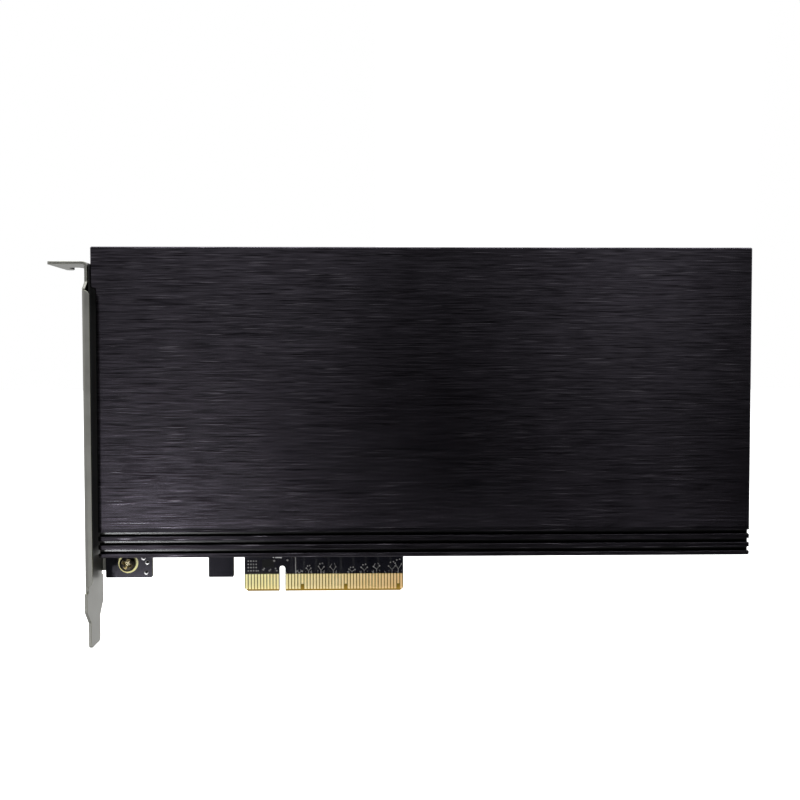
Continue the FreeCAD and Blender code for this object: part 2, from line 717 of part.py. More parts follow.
def make_socket(number, side, row):
    """One edge socket, built about the middle of its back with its mouth towards +X."""
    body = new_body(f"drive_socket_{number}")
    half = "socket_width / 2"
    block = new_sketch(body, "XY_Plane")
    rectangle(block, "0", "socket_depth", f"-{half}", half)
    pad(body, block, "socket_height")
    dress(body, "Chamfer", edges_at(body, x="0", y=f"-{half}") + edges_at(body, x="0", y=half),
          "socket_back_chamfer")
    lip = new_sketch(body, "XY_Plane")
    rectangle(lip, "slot_back", "socket_depth + socket_lip", "-slot_span / 2", "slot_span / 2")
    pad(body, lip, "socket_lip_height")

    mouth = new_sketch(body, "XZ_Plane", "-slot_span / 2")
    slot_top = "slot_floor + slot_height"
    polygon(mouth, [("slot_back", "slot_floor"), ("socket_depth + overcut", "slot_floor"),
                    ("socket_depth + overcut", "socket_height + overcut"),
                    ("hood_depth", "socket_height + overcut"), ("hood_depth", f"{slot_top} + slot_lead_in"),
                    ("hood_depth - slot_lead_in_depth", slot_top), ("slot_back", slot_top)])
    pocket(body, mouth, "slot_span", backwards=True)

    rib = new_sketch(body, "XY_Plane", "slot_floor")
    rectangle(rib, "slot_back", "slot_back + key_rib_depth",
              "key_offset - key_rib / 2", "key_offset + key_rib / 2")
    pad(body, rib, "slot_height")
    pegs = new_sketch(body, "XY_Plane")
    for end in (-1, 1):
        circle(pegs, "peg_back", f"{end} * peg_offset", "peg_diameter")
    pad(body, pegs, "peg_length", backwards=True)

    body.setExpression("Placement.Base.x", bound(f"card_middle + {side} * socket_half_gap"))
    body.setExpression("Placement.Base.y", bound("-(front)"))
    body.setExpression("Placement.Base.z", bound(row))
    upright = FreeCAD.Rotation(FreeCAD.Vector(1, 0, 0), 90)
    turn = FreeCAD.Rotation(FreeCAD.Vector(0, 1, 0), 0 if side > 0 else 180)
    body.Placement.Rotation = turn * upright
    return body


def make_standoffs():
    """Soldered standoffs that a drive module's far end is screwed to."""
    body = new_body("drive_standoffs")
    barrels, spigots, threads = [new_sketch(body, level="front") for _ in range(3)]
    for side, row in sockets():
        place = (f"card_middle + {side} * standoff_distance", row)
        circle(barrels, *place, "standoff_diameter")
        circle(spigots, *place, "standoff_spigot")
        circle(threads, *place, "standoff_thread")
    pad(body, barrels, "standoff_height")
    pad(body, spigots, "standoff_spigot_length", backwards=True)
    pocket(body, threads)
    return body


def make_drive_pad(number, side, row):
    body = new_body(f"drive_thermal_pad_{number}")
    area = new_sketch(body, level="pad_face")
    middle = f"card_middle + {side} * drive_pad_middle"
    rectangle(area, f"{middle} - drive_pad_length / 2", f"{middle} + drive_pad_length / 2",
              f"{row} - drive_pad_width / 2", f"{row} + drive_pad_width / 2")
    pad(body, area, "drive_pad_thickness")
    return body


# ---- electronics ----

def centred_square(sketch, x, z, size):
    rectangle(sketch, f"{x} - {size} / 2", f"{x} + {size} / 2", f"{z} - {size} / 2", f"{z} + {size} / 2")


def make_chip():
    """The switch chip: solder field, substrate and metal lid."""
    body = new_body("switch_chip")
    level = "front"
    for size, height in (("chip_ball_field", "chip_ball_height"), ("chip_size", "chip_substrate"),
                         ("chip_lid", "chip_lid_height")):
        area = new_sketch(body, level=level)
        centred_square(area, "chip_x", "strip_middle", size)
        pad(body, area, height)
        level = f"{level} + {height}"
    dress(body, "Chamfer", edges_at(body, y="-(chip_top)"), "chip_lid_edge")
    return body


def make_chip_pad():
    body = new_body("switch_thermal_pad")
    area = new_sketch(body, level="chip_top")
    centred_square(area, "chip_x", "strip_middle", "chip_pad_size")
    pad(body, area, "cover_inner - (chip_top)")
    return body


def make_row(name):
    """A straight row, or rows, of one soldered part."""
    face, along, rise, sizes = ROWS[name]
    body = new_body(name)
    area = new_sketch(body, level="front" if face == "front" else "-(front)")
    x, z = f"{along} + {name}_along", f"{rise} + {name}_rise"
    left, right = f"{x} - {name}_length / 2", f"{x} + {name}_length / 2"
    low, high = f"{z} - {name}_width / 2", f"{z} + {name}_width / 2"
    if "corner" in sizes:
        cut = f"{name}_corner"
        polygon(area, [(f"{left} + {cut}", low), (f"{right} - {cut}", low), (right, f"{low} + {cut}"),
                       (right, f"{high} - {cut}"), (f"{right} - {cut}", high), (f"{left} + {cut}", high),
                       (left, f"{high} - {cut}"), (left, f"{low} + {cut}")])
    else:
        rectangle(area, left, right, low, high)
    part = pad(body, area, f"{name}_height", backwards=face == "back")
    if "count" in sizes:
        second = None
        if "lines" in sizes:
            second = ("Z_Axis", f"{name}_line_pitch * ({name}_lines - 1)", f"{name}_lines")
        repeat(body, part, "X_Axis", f"{name}_pitch * ({name}_count - 1)", f"{name}_count", second)
    return body


# ---- the whole card ----

def make_card():
    bodies = [make_board(),
              make_contacts("edge_contacts_front", 1, [presence_contact(n) for n in (17, 31, 48)]),
              make_contacts("edge_contacts_back", -1, [presence_contact(1)]),
              make_rings(), make_bracket(), make_bracket_screws(),
              make_cover(), make_spacers(), make_cover_screws(), make_standoffs(),
              make_chip(), make_chip_pad()]
    for number, (side, row) in enumerate(sockets(), start=1):
        bodies.append(make_socket(number, side, row))
        bodies.append(make_drive_pad(number, side, row))
    bodies += [make_row(name) for name in ROWS]
    return bodies


def presence_contact(number):
    """Where a contact lies, counted from 1 at the bracket end of either face."""
    if number <= SIZES["short_row_count"]:
        return f"-(contact_to_key + contact_pitch * (short_row_count - {number}))"
    return f"contact_to_key + contact_pitch * ({number} - short_row_count - 1)"


def write(bodies):
    document.recompute()
    failed = [item.Name for item in document.Objects if {"Invalid", "Error"} & set(item.State)]
    if failed:
        raise ValueError(f"these did not recompute: {failed}")
    for body in bodies:
        if body.Shape.isNull() or not body.Shape.isValid():
            raise ValueError(f"{body.Label} has no valid shape")
    os.makedirs("parts", exist_ok=True)
    for body in bodies:
        body.Shape.exportStep(os.path.join("parts", f"{body.Label}.step"))
        print(body.Label, len(body.Shape.Solids), "solids", round(body.Shape.Volume, 3), "mm3")


fill_sheet()
write(make_card())
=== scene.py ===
"""Looks of a four-drive adapter card: its finishes, fasteners, solder, traces and small electronic parts."""

import math
import random

import bmesh
import bpy
from mathutils import Matrix, Vector


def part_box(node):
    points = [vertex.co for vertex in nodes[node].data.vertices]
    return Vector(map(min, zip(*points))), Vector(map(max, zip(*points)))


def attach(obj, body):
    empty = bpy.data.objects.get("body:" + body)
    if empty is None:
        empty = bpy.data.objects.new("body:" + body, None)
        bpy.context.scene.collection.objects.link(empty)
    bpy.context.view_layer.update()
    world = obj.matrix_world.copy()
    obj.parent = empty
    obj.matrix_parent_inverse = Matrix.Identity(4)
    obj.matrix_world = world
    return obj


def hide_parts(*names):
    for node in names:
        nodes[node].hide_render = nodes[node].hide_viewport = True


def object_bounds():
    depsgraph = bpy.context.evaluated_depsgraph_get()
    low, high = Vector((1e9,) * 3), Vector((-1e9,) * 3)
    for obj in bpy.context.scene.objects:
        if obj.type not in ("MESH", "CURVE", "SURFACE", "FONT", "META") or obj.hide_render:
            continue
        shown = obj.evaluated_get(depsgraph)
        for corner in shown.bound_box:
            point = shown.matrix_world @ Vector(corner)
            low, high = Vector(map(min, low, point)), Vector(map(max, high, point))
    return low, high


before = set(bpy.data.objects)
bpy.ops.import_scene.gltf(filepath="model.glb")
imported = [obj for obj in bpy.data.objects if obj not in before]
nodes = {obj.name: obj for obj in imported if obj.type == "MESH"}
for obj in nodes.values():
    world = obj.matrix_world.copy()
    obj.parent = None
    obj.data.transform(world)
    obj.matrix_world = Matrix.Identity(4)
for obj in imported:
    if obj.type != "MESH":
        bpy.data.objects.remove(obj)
cad_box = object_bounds()
mm = 0.001

# ---- what the card's own nodes say about its layout ----

BOARD_LOW, BOARD_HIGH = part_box("circuit_board")
COVER_LOW, COVER_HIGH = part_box("heatsink_cover")
PADS_LOW, PADS_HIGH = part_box("edge_contacts_front")
CHIP_LOW, CHIP_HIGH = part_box("switch_chip")
FRONT, BACK = BOARD_LOW.y, BOARD_HIGH.y
# which way each face of the board looks along Y
OUTWARD = {FRONT: -1, BACK: 1}
SOCKETS = [f"drive_socket_{number}" for number in range(1, 5)]


def solids(node):
    """Low and high corners of every separate solid in one of the card's nodes, in a fixed order."""
    mesh = nodes[node].data
    grid, decimals = 1e-6, 5
    keys = [tuple(round(c / grid) for c in vertex.co) for vertex in mesh.vertices]
    parent = {key: key for key in keys}

    def root(key):
        while parent[key] != key:
            parent[key] = parent[parent[key]]
            key = parent[key]
        return key

    for polygon in mesh.polygons:
        corners = [keys[index] for index in polygon.vertices]
        for corner in corners[1:]:
            parent[root(corner)] = root(corners[0])
    groups = {}
    for key, vertex in zip(keys, mesh.vertices):
        groups.setdefault(root(key), []).append(vertex.co)
    boxes = [(Vector(map(min, zip(*group))), Vector(map(max, zip(*group)))) for group in groups.values()]
    return sorted(boxes, key=lambda box: [round(c, decimals) for c in box[0]])


# ---- shader networks ----

class Net:
    """A network of shader nodes. Every input takes a value or another node's output."""

    def __init__(self, tree):
        self.tree = tree

    def connect(self, value, socket):
        if isinstance(value, bpy.types.NodeSocket):
            self.tree.links.new(value, socket)
        else:
            socket.default_value = value

    def fill(self, sockets, values):
        for name, value in values.items():
            self.connect(value, sockets[name.replace("_", " ")])

    def add(self, kind, settings=None, **inputs):
        """A node with its settings and inputs."""
        node = self.tree.nodes.new("ShaderNode" + kind)
        for name, setting in (settings or {}).items():
            setattr(node, name, setting)
        self.fill(node.inputs, inputs)
        return node

    def calculate(self, operation, first, second=0.0, clamp=False):
        node = self.add("Math", {"operation": operation, "use_clamp": clamp})
        self.connect(first, node.inputs[0])
        self.connect(second, node.inputs[1])
        return node.outputs[0]

    def times(self, first, *others, clamp=False):
        for other in others:
            first = self.calculate("MULTIPLY", first, other, clamp)
        return first

    def plus(self, first, *others):
        for other in others:
            first = self.calculate("ADD", first, other)
        return first

    def minus(self, first, second, clamp=False):
        return self.calculate("SUBTRACT", first, second, clamp)

    def greater(self, first, second):
        return self.calculate("MAXIMUM", first, second)

    def absolute(self, value):
        return self.calculate("ABSOLUTE", value)

    def span(self, value, low, high, to_low=0.0, to_high=1.0, smooth=False):
        """Carry a value from one range to another, held at the ends."""
        node = self.add("MapRange", {"interpolation_type": "SMOOTHSTEP" if smooth else "LINEAR"})
        for socket, number in zip(node.inputs, (value, low, high, to_low, to_high)):
            self.connect(number, socket)
        return node.outputs[0]

    def between(self, mask, low, high):
        """A number that goes from low to high with a mask."""
        return self.span(mask, 0.0, 1.0, low, high)

    def blend(self, mask, first, second):
        """Mix two colours by a mask."""
        node = self.add("Mix", {"data_type": "RGBA"})
        self.connect(mask, node.inputs[0])
        for socket, colour in ((node.inputs[6], first), (node.inputs[7], second)):
            self.connect(colour if isinstance(colour, bpy.types.NodeSocket) else (*colour, 1.0), socket)
        return node.outputs[2]

    def parts(self, vector):
        """The X, Y and Z of a vector."""
        return self.add("SeparateXYZ", Vector=vector).outputs

    def facing(self):
        """Which way the surface looks, as X, Y and Z."""
        return self.parts(self.add("NewGeometry").outputs["True Normal"])

    def use(self, group, **inputs):
        """Place a shared effect, with values of its own."""
        return self.add("Group", {"node_tree": group}, **inputs).outputs


def new_group(name, inputs, outputs):
    """A shared effect to be filled in: its network, what it is given and what it results in."""
    group = bpy.data.node_groups.new(name, "ShaderNodeTree")
    for socket, kind, default in inputs:
        made = group.interface.new_socket(socket, in_out="INPUT", socket_type="NodeSocket" + kind)
        if default is not None:
            made.default_value = default
    for socket, kind in outputs:
        group.interface.new_socket(socket, in_out="OUTPUT", socket_type="NodeSocket" + kind)
    return Net(group), group.nodes.new("NodeGroupInput").outputs, group.nodes.new("NodeGroupOutput").inputs


# ---- effects that several finishes share ----

def make_streaks():
    """Fine lines along one axis, as a brush or a rolling mill leaves them. Stretch holds lines per metre."""
    net, given, result = new_group("streaks", [
        ("Vector", "Vector", None), ("Stretch", "Vector", (30.0, 3000.0, 3000.0)), ("Detail", "Float", 3.0),
    ], [("Line", "Float")])
    scaled = net.add("VectorMath", {"operation": "MULTIPLY"})
    net.connect(given["Vector"], scaled.inputs[0])
    net.connect(given["Stretch"], scaled.inputs[1])
    noise = net.add("TexNoise", Vector=scaled.outputs[0], Scale=1.0, Detail=given["Detail"], Roughness=0.6)
    darkest, lightest = 0.28, 0.72
    net.connect(net.span(noise.outputs[0], darkest, lightest), result["Line"])
    return net.tree


def make_mottle():
    """Slow cloudy change over a surface, from 0 to 1."""
    net, given, result = new_group("mottle", [
        ("Vector", "Vector", None), ("Per metre", "Float", 60.0),
    ], [("Cloud", "Float")])
    noise = net.add("TexNoise", Vector=given["Vector"], Scale=given["Per metre"], Detail=4.0, Roughness=0.55)
    darkest, lightest = 0.3, 0.7
    net.connect(net.span(noise.outputs[0], darkest, lightest), result["Cloud"])
    return net.tree


def make_edge_wear_and_glint():
    """Where an edge is, as a mask, and a normal that rounds it."""
    net, given, result = new_group("edge_wear_and_glint", [
        ("Radius", "Float", 0.0002), ("Gain", "Float", 4.0), ("Breakup", "Float", 1.0),
    ], [("Mask", "Float"), ("Normal", "Vector")])
    rounded = net.add("Bevel", {"samples": 4}, Radius=given["Radius"])
    dot = net.add("VectorMath", {"operation": "DOT_PRODUCT"})
    net.connect(rounded.outputs[0], dot.inputs[0])
    net.connect(net.add("NewGeometry").outputs["True Normal"], dot.inputs[1])
    bend = net.minus(1.0, dot.outputs["Value"], clamp=True)
    net.connect(net.times(bend, given["Gain"], given["Breakup"], clamp=True), result["Mask"])
    net.connect(rounded.outputs[0], result["Normal"])
    return net.tree


def make_dust():
    """Scattered specks: Per metre sets how close they lie, Share how many show."""
    net, given, result = new_group("dust", [
        ("Vector", "Vector", None), ("Per metre", "Float", 900.0), ("Share", "Float", 0.06),
    ], [("Speck", "Float")])
    cells = net.add("TexVoronoi", Vector=given["Vector"], Scale=given["Per metre"])
    patches = net.add("TexNoise", Vector=given["Vector"], Scale=120.0, Detail=2.0)
    limit = net.times(given["Share"], patches.outputs[0])
    inside = net.minus(limit, cells.outputs["Distance"], clamp=True)
    sharpness = 30.0
    net.connect(net.times(inside, sharpness, clamp=True), result["Speck"])
    return net.tree


STREAKS, MOTTLE, EDGE_WEAR_AND_GLINT, DUST = make_streaks(), make_mottle(), make_edge_wear_and_glint(), make_dust()


# ---- finishes ----

class Finish(Net):
    """A material in the making, with its shader and where a point of the card lies, in metres."""

    def __init__(self, name):
        self.material = bpy.data.materials.new(name)
        self.material.use_nodes = True
        super().__init__(self.material.node_tree)
        self.tree.nodes.clear()
        self.shader = self.add("BsdfPrincipled")
        self.add("OutputMaterial", Surface=self.shader.outputs[0])
        self.place = self.add("TexCoord").outputs["Object"]

    def streaks(self, per_metre, detail):
        return self.use(STREAKS, Vector=self.place, Stretch=per_metre, Detail=detail)["Line"]

    def mottle(self, per_metre):
        return self.use(MOTTLE, Vector=self.place, Per_metre=per_metre)["Cloud"]

    def bump(self, height, strength, distance, **normal):
        return self.add("Bump", Height=height, Strength=strength, Distance=distance, **normal).outputs[0]

    def done(self, **inputs):
        """Set the shader's inputs and give the material."""
        self.fill(self.shader.inputs, inputs)
        return self.material


BLACK = (0.0, 0.0, 0.0)
# how squarely a surface has to face an axis before it counts as facing it, from not yet to fully
FACES = (0.6, 0.8)
FINE_RELIEF = 0.01 * mm


def anodised_black():
    """Aluminium brushed along the card and dyed black. The grooves were milled after that.

    Their floors came out bare and glossy; a painted reflection makes them paler towards the bracket end and
    painted shade darkens their lower corners. Their walls stayed matt and are painted near black as shade.
    """
    net = Finish("anodised_black")
    at, facing = net.parts(net.place), net.facing()
    # three layers of brushing, each with its share, and stray scratches over them
    broad = net.streaks((15.0, 300.0, 1250.0), 4.0)
    line = net.plus(net.times(net.streaks((42.0, 900.0, 2400.0), 3.0), 0.38), net.times(broad, 0.14),
                    net.times(net.streaks((110.0, 1500.0, 2900.0), 2.0), 0.48))
    line = net.span(line, 0.15, 0.85, 0.04, 0.94)
    scratch = net.times(net.span(net.streaks((75.0, 700.0, 2900.0), 1.0), 0.82, 1.0), 0.5)
    # the sawn ends show next to none of that
    middle_tone = 0.5
    brushed = net.span(net.absolute(facing["X"]), *FACES, 1.0, 0.1)
    scratch = net.times(scratch, brushed)
    line = net.plus(net.times(net.minus(line, middle_tone), brushed), middle_tone)
    # where the grooves are, and their floors and walls
    blur = 0.1 * mm
    cut_depth, groove_end = COVER_LOW.y + 0.3 * mm, COVER_HIGH.y - 1.5 * mm
    groove_top = COVER_LOW.z + 9.0 * mm
    in_groove = net.times(net.span(at["Y"], cut_depth, cut_depth + blur),
                          net.span(at["Y"], groove_end, groove_end - blur))
    floor = net.times(in_groove, net.span(facing["Y"], -FACES[0], -FACES[1]))
    wall = net.times(in_groove, net.span(at["Z"], groove_top, groove_top - blur),
                     net.span(net.absolute(facing["Z"]), *FACES))
    # painted shade: the lower corner of each groove's floor is painted near black
    pitch, first_groove, corner = 2.7 * mm, COVER_LOW.z + 1.25 * mm, 0.5 * mm
    turns = net.calculate("DIVIDE", net.minus(at["Z"], first_groove), pitch)
    rise = net.times(net.calculate("FRACT", turns), pitch)
    above_painted_shade = net.span(rise, corner * 0.7, corner * 1.2)
    # the ribs between the grooves are darker than the flat face above them
    rib_tone = 0.45
    tone = net.blend(line, BLACK, (0.172, 0.156, 0.193))
    tone = net.blend(net.span(at["Z"], groove_top + 0.2 * mm, groove_top, 1.0, rib_tone), BLACK, tone)
    tone = net.blend(scratch, tone, (0.42, 0.39, 0.45))
    wear = net.use(EDGE_WEAR_AND_GLINT, Radius=0.1 * mm, Gain=1.5, Breakup=broad)
    tone = net.blend(wear["Mask"], tone, (0.02, 0.02, 0.021))
    # painted reflection: the bare floors of the grooves are painted paler towards the bracket end
    painted_reflection = net.span(at["X"], COVER_LOW.x + 70.0 * mm, COVER_LOW.x + 8.0 * mm)
    bare = net.blend(net.times(painted_reflection, painted_reflection), (0.03, 0.03, 0.031), (0.3, 0.3, 0.308))
    # painted shade in the lower corner of each groove floor
    bare = net.blend(above_painted_shade, (0.004, 0.004, 0.004), bare)
    # painted shade: the groove walls are painted near black; the floors take their own tone
    tone = net.blend(wall, net.blend(floor, tone, bare), (0.003, 0.003, 0.003))
    wall_roughness = 0.75
    rough = net.plus(net.between(net.mottle(25.0), 0.155, 0.185), net.times(wall, wall_roughness))
    tangent = net.add("Tangent", {"direction_type": "RADIAL", "axis": "X"})
    return net.done(Base_Color=tone, Metallic=1.0, Roughness=rough, Anisotropic=0.25,
                    Tangent=tangent.outputs[0],
                    Normal=net.bump(line, 0.25, FINE_RELIEF, Normal=wear["Normal"]))


def board_mask():
    """Black solder mask, bare laminate along the connector's tip and on the cut edges."""
    net = Finish("board_mask")
    at = net.parts(net.place)
    cloud = net.mottle(90.0)
    weave = net.streaks((1500.0, 1500.0, 200.0), 1.0)
    # the mask ends just above the contacts and beside them
    mask_edge, outer, inner = PADS_HIGH.z + 0.12 * mm, 1.0 * mm, 0.9 * mm
    low = net.span(at["Z"], mask_edge, mask_edge - 0.05 * mm)
    inside = net.times(net.span(at["X"], PADS_LOW.x - outer, PADS_LOW.x - inner),
                       net.span(at["X"], PADS_HIGH.x + outer, PADS_HIGH.x + inner))
    cut = net.span(net.absolute(net.facing()["Y"]), 0.2, 0.5, 1.0, 0.0)
    bare = net.greater(net.times(low, inside), cut)
    ink = net.blend(cloud, (0.003, 0.0031, 0.0052), (0.0062, 0.0064, 0.0098))
    laminate = net.blend(weave, (0.1, 0.078, 0.003), (0.15, 0.115, 0.007))
    above_bevel = net.span(at["Z"], 1.2 * mm, 2.6 * mm)
    laminate = net.blend(above_bevel, (0.3, 0.18, 0.012), laminate)
    laminate = net.blend(cut, laminate, (0.1, 0.092, 0.055))
    bare_roughness = 0.8
    rough = net.plus(net.between(cloud, 0.09, 0.14), net.times(bare, bare_roughness))
    return net.done(Base_Color=net.blend(bare, ink, laminate), Roughness=rough, Specular_IOR_Level=0.4,
                    Specular_Tint=(0.88, 0.84, 1.0, 1.0), Normal=net.bump(weave, 0.12, 0.02 * mm))


def gold_plate():
    """Gold that is paler towards the bracket and redder towards the far end."""
    net = Finish("gold_plate")
    cloud = net.mottle(180.0)
    rub = net.streaks((6000.0, 6000.0, 150.0), 2.0)
    along = net.span(net.parts(net.place)["X"], PADS_LOW.x, PADS_HIGH.x)
    pale = net.blend(cloud, (1.0, 0.92, 0.46), (1.0, 0.96, 0.56))
    red = net.blend(cloud, (0.8, 0.55, 0.26), (0.85, 0.6, 0.32))
    return net.done(Base_Color=net.blend(along, pale, red), Metallic=1.0,
                    Roughness=net.between(rub, 0.42, 0.56), Normal=net.bump(rub, 0.1, FINE_RELIEF))


def plated_steel():
    """Rolled sheet under a clear zinc plating that turns olive on the sheared edges."""
    net = Finish("plated_steel")
    grain = net.streaks((2600.0, 2600.0, 60.0), 3.0)
    cloud = net.mottle(140.0)
    wear = net.use(EDGE_WEAR_AND_GLINT, Radius=0.28 * mm, Gain=4.0, Breakup=cloud)
    grain_share = 0.35
    plate = net.blend(cloud, (0.25, 0.249, 0.226), (0.31, 0.309, 0.286))
    plate = net.blend(net.times(grain, grain_share), plate, (0.26, 0.25, 0.245))
    plate = net.blend(wear["Mask"], plate, (0.2, 0.225, 0.09))
    # painted shade: the plate's inner face is painted dark and made smooth beside the cover, and painted dull
    # black behind the cover's front
    at = net.parts(net.place)
    inner = net.times(net.span(net.facing()["X"], *FACES),
                      net.span(at["Z"], COVER_LOW.z - 2.0 * mm, COVER_LOW.z + 3.0 * mm))
    deep = net.times(inner, net.span(at["Y"], COVER_LOW.y - 0.3 * mm, COVER_LOW.y))
    smoother = 0.34
    rough = net.minus(net.between(cloud, 0.36, 0.46), net.times(inner, smoother))
    # the inner face's painted shade goes into its colour, metal and roughness
    return net.done(Base_Color=net.blend(inner, plate, (0.01, 0.01, 0.01)), Metallic=net.minus(1.0, deep),
                    Roughness=net.greater(rough, deep),
                    Normal=net.bump(grain, 0.12, FINE_RELIEF, Normal=wear["Normal"]))


def metal(name, dark, light, rough, per_metre=300.0):
    """A plain metal part with a cloudy finish and rounded edges."""
    net = Finish(name)
    cloud = net.mottle(per_metre)
    wear = net.use(EDGE_WEAR_AND_GLINT, Radius=0.08 * mm, Gain=2.0, Breakup=cloud)
    wear_share, unevenness = 0.3, 0.12
    tone = net.blend(net.times(wear["Mask"], wear_share), net.blend(cloud, dark, light), light)
    return net.done(Base_Color=tone, Metallic=1.0, Roughness=net.between(cloud, rough, rough + unevenness),
                    Normal=wear["Normal"])


def black_screw():
    """Black zinc on a screw, with painted glints: its edges are painted bright yellow metal."""
    net = Finish("black_zinc")
    cloud = net.mottle(700.0)
    wear = net.use(EDGE_WEAR_AND_GLINT, Radius=0.2 * mm, Gain=4.0, Breakup=net.span(cloud, 0.0, 0.6, 0.3, 1.0))
    black = net.blend(cloud, (0.012, 0.011, 0.01), (0.05, 0.044, 0.036))
    # painted glint: the edge mask paints bright yellow over the screw's black
    return net.done(Base_Color=net.blend(wear["Mask"], black, (1.0, 0.86, 0.56)), Metallic=1.0,
                    Roughness=net.between(cloud, 0.2, 0.3),
                    Normal=net.bump(cloud, 0.1, 0.02 * mm, Normal=wear["Normal"]))


def moulded(name, dark, light, rough, per_metre=4000.0, relief=0.1):
    """Moulded, pressed or fired stuff: an even tone, a fine grain and a little dust."""
    net = Finish(name)
    grain = net.mottle(per_metre)
    speck = net.use(DUST, Vector=net.place, Per_metre=1400.0, Share=0.05)["Speck"]
    dust_share, dust_tone, unevenness = 0.4, 0.05, 0.1
    dusty = [min(1.0, channel + dust_tone) for channel in light]
    tone = net.blend(net.times(speck, dust_share), net.blend(net.mottle(150.0), dark, light), dusty)
    return net.done(Base_Color=tone, Roughness=net.between(grain, rough, rough + unevenness),
                    Normal=net.bump(grain, relief, 0.03 * mm))


def printed_ink():
    """White marking ink, a little uneven."""
    net = Finish("marking_ink")
    patch = net.mottle(2500.0)
    return net.done(Base_Color=net.blend(patch, (0.42, 0.42, 0.42), (0.72, 0.72, 0.71)),
                    Roughness=net.between(patch, 0.45, 0.6), Normal=net.bump(patch, 0.2, FINE_RELIEF))


# metal and moulded take a dark and a light tone, roughness, how fine the grain is and how deep it stands
ANODISED = anodised_black()
BOARD = board_mask()
GOLD = gold_plate()
STEEL = plated_steel()
SCREW = black_screw()
# painted glints: the cut faces of each screw's cross recess are painted bright yellow metal
PAINTED_GLINT_RECESS = metal("painted_glint_recess", (0.05, 0.04, 0.022), (1.0, 0.9, 0.62), 0.18, 1500.0)
NICKEL = metal("nickel", (0.55, 0.52, 0.47), (0.7, 0.67, 0.61), 0.26)
TIN = metal("tinned_end", (0.6, 0.6, 0.6), (0.78, 0.78, 0.77), 0.3, 900.0)
SOLDER = metal("solder", (0.5, 0.5, 0.5), (0.72, 0.72, 0.73), 0.22, 700.0)
LID = metal("chip_lid", (0.5, 0.5, 0.51), (0.62, 0.62, 0.63), 0.34, 80.0)
COVERED_COPPER = moulded("mask_over_copper", (0.0045, 0.0046, 0.0065), (0.009, 0.0092, 0.012), 0.16,
                         900.0, 0.05)
TENTED = moulded("tented_hole", (0.12, 0.118, 0.114), (0.27, 0.265, 0.257), 0.35, 2500.0, 0.15)
# near black: painted shade inside open holes, and the colour of pin-one dots and a bare window in the mask
HOLE = moulded("deep_hole", (0.002, 0.002, 0.002), (0.004, 0.004, 0.004), 0.8)
CASE = moulded("chip_case", (0.018, 0.018, 0.019), (0.03, 0.03, 0.032), 0.5, 6000.0, 0.3)
SUBSTRATE = moulded("chip_substrate", (0.012, 0.03, 0.016), (0.02, 0.045, 0.024), 0.35)
SOCKET = moulded("socket_plastic", (0.012, 0.012, 0.013), (0.022, 0.022, 0.024), 0.45)
PAD = moulded("thermal_pad", (0.27, 0.33, 0.41), (0.36, 0.43, 0.51), 0.75, 2500.0, 0.5)
FERRITE = moulded("inductor_case", (0.06, 0.06, 0.063), (0.1, 0.1, 0.105), 0.55, 5000.0, 0.5)
TANTALUM = moulded("tantalum_case", (0.3, 0.17, 0.03), (0.42, 0.25, 0.05), 0.45)
CERAMIC = moulded("capacitor_ceramic", (0.28, 0.19, 0.11), (0.4, 0.28, 0.17), 0.4)
FUSE = moulded("fuse_body", (0.62, 0.6, 0.55), (0.74, 0.72, 0.67), 0.5)
LENS = moulded("led_lens", (0.62, 0.66, 0.5), (0.8, 0.82, 0.66), 0.15)
RESISTOR = moulded("resistor_body", (0.008, 0.008, 0.008), (0.02, 0.02, 0.02), 0.25)
INK = printed_ink()


# ---- pieces ----

SMOOTH_BELOW = math.radians(40)


def finished(name, form, materials=()):
    """A mesh made from a form, which is freed."""
    mesh = bpy.data.meshes.new(name)
    form.to_mesh(mesh)
    form.free()
    for material in materials:
        mesh.materials.append(material)
    return mesh


def shown(name, data):
    """An object in the scene that carries a mesh, light or camera."""
    made = bpy.data.objects.new(name, data)
    bpy.context.scene.collection.objects.link(made)
    return made


def soften(form, offset):
    bmesh.ops.bevel(form, geom=form.edges[:], offset=offset, segments=2, affect="EDGES", profile=0.5)


def turn_outwards(form):
    bmesh.ops.recalc_face_normals(form, faces=form.faces[:])


def turned_by(degrees, axis="Y"):
    return Matrix.Rotation(math.radians(degrees), 4, axis)


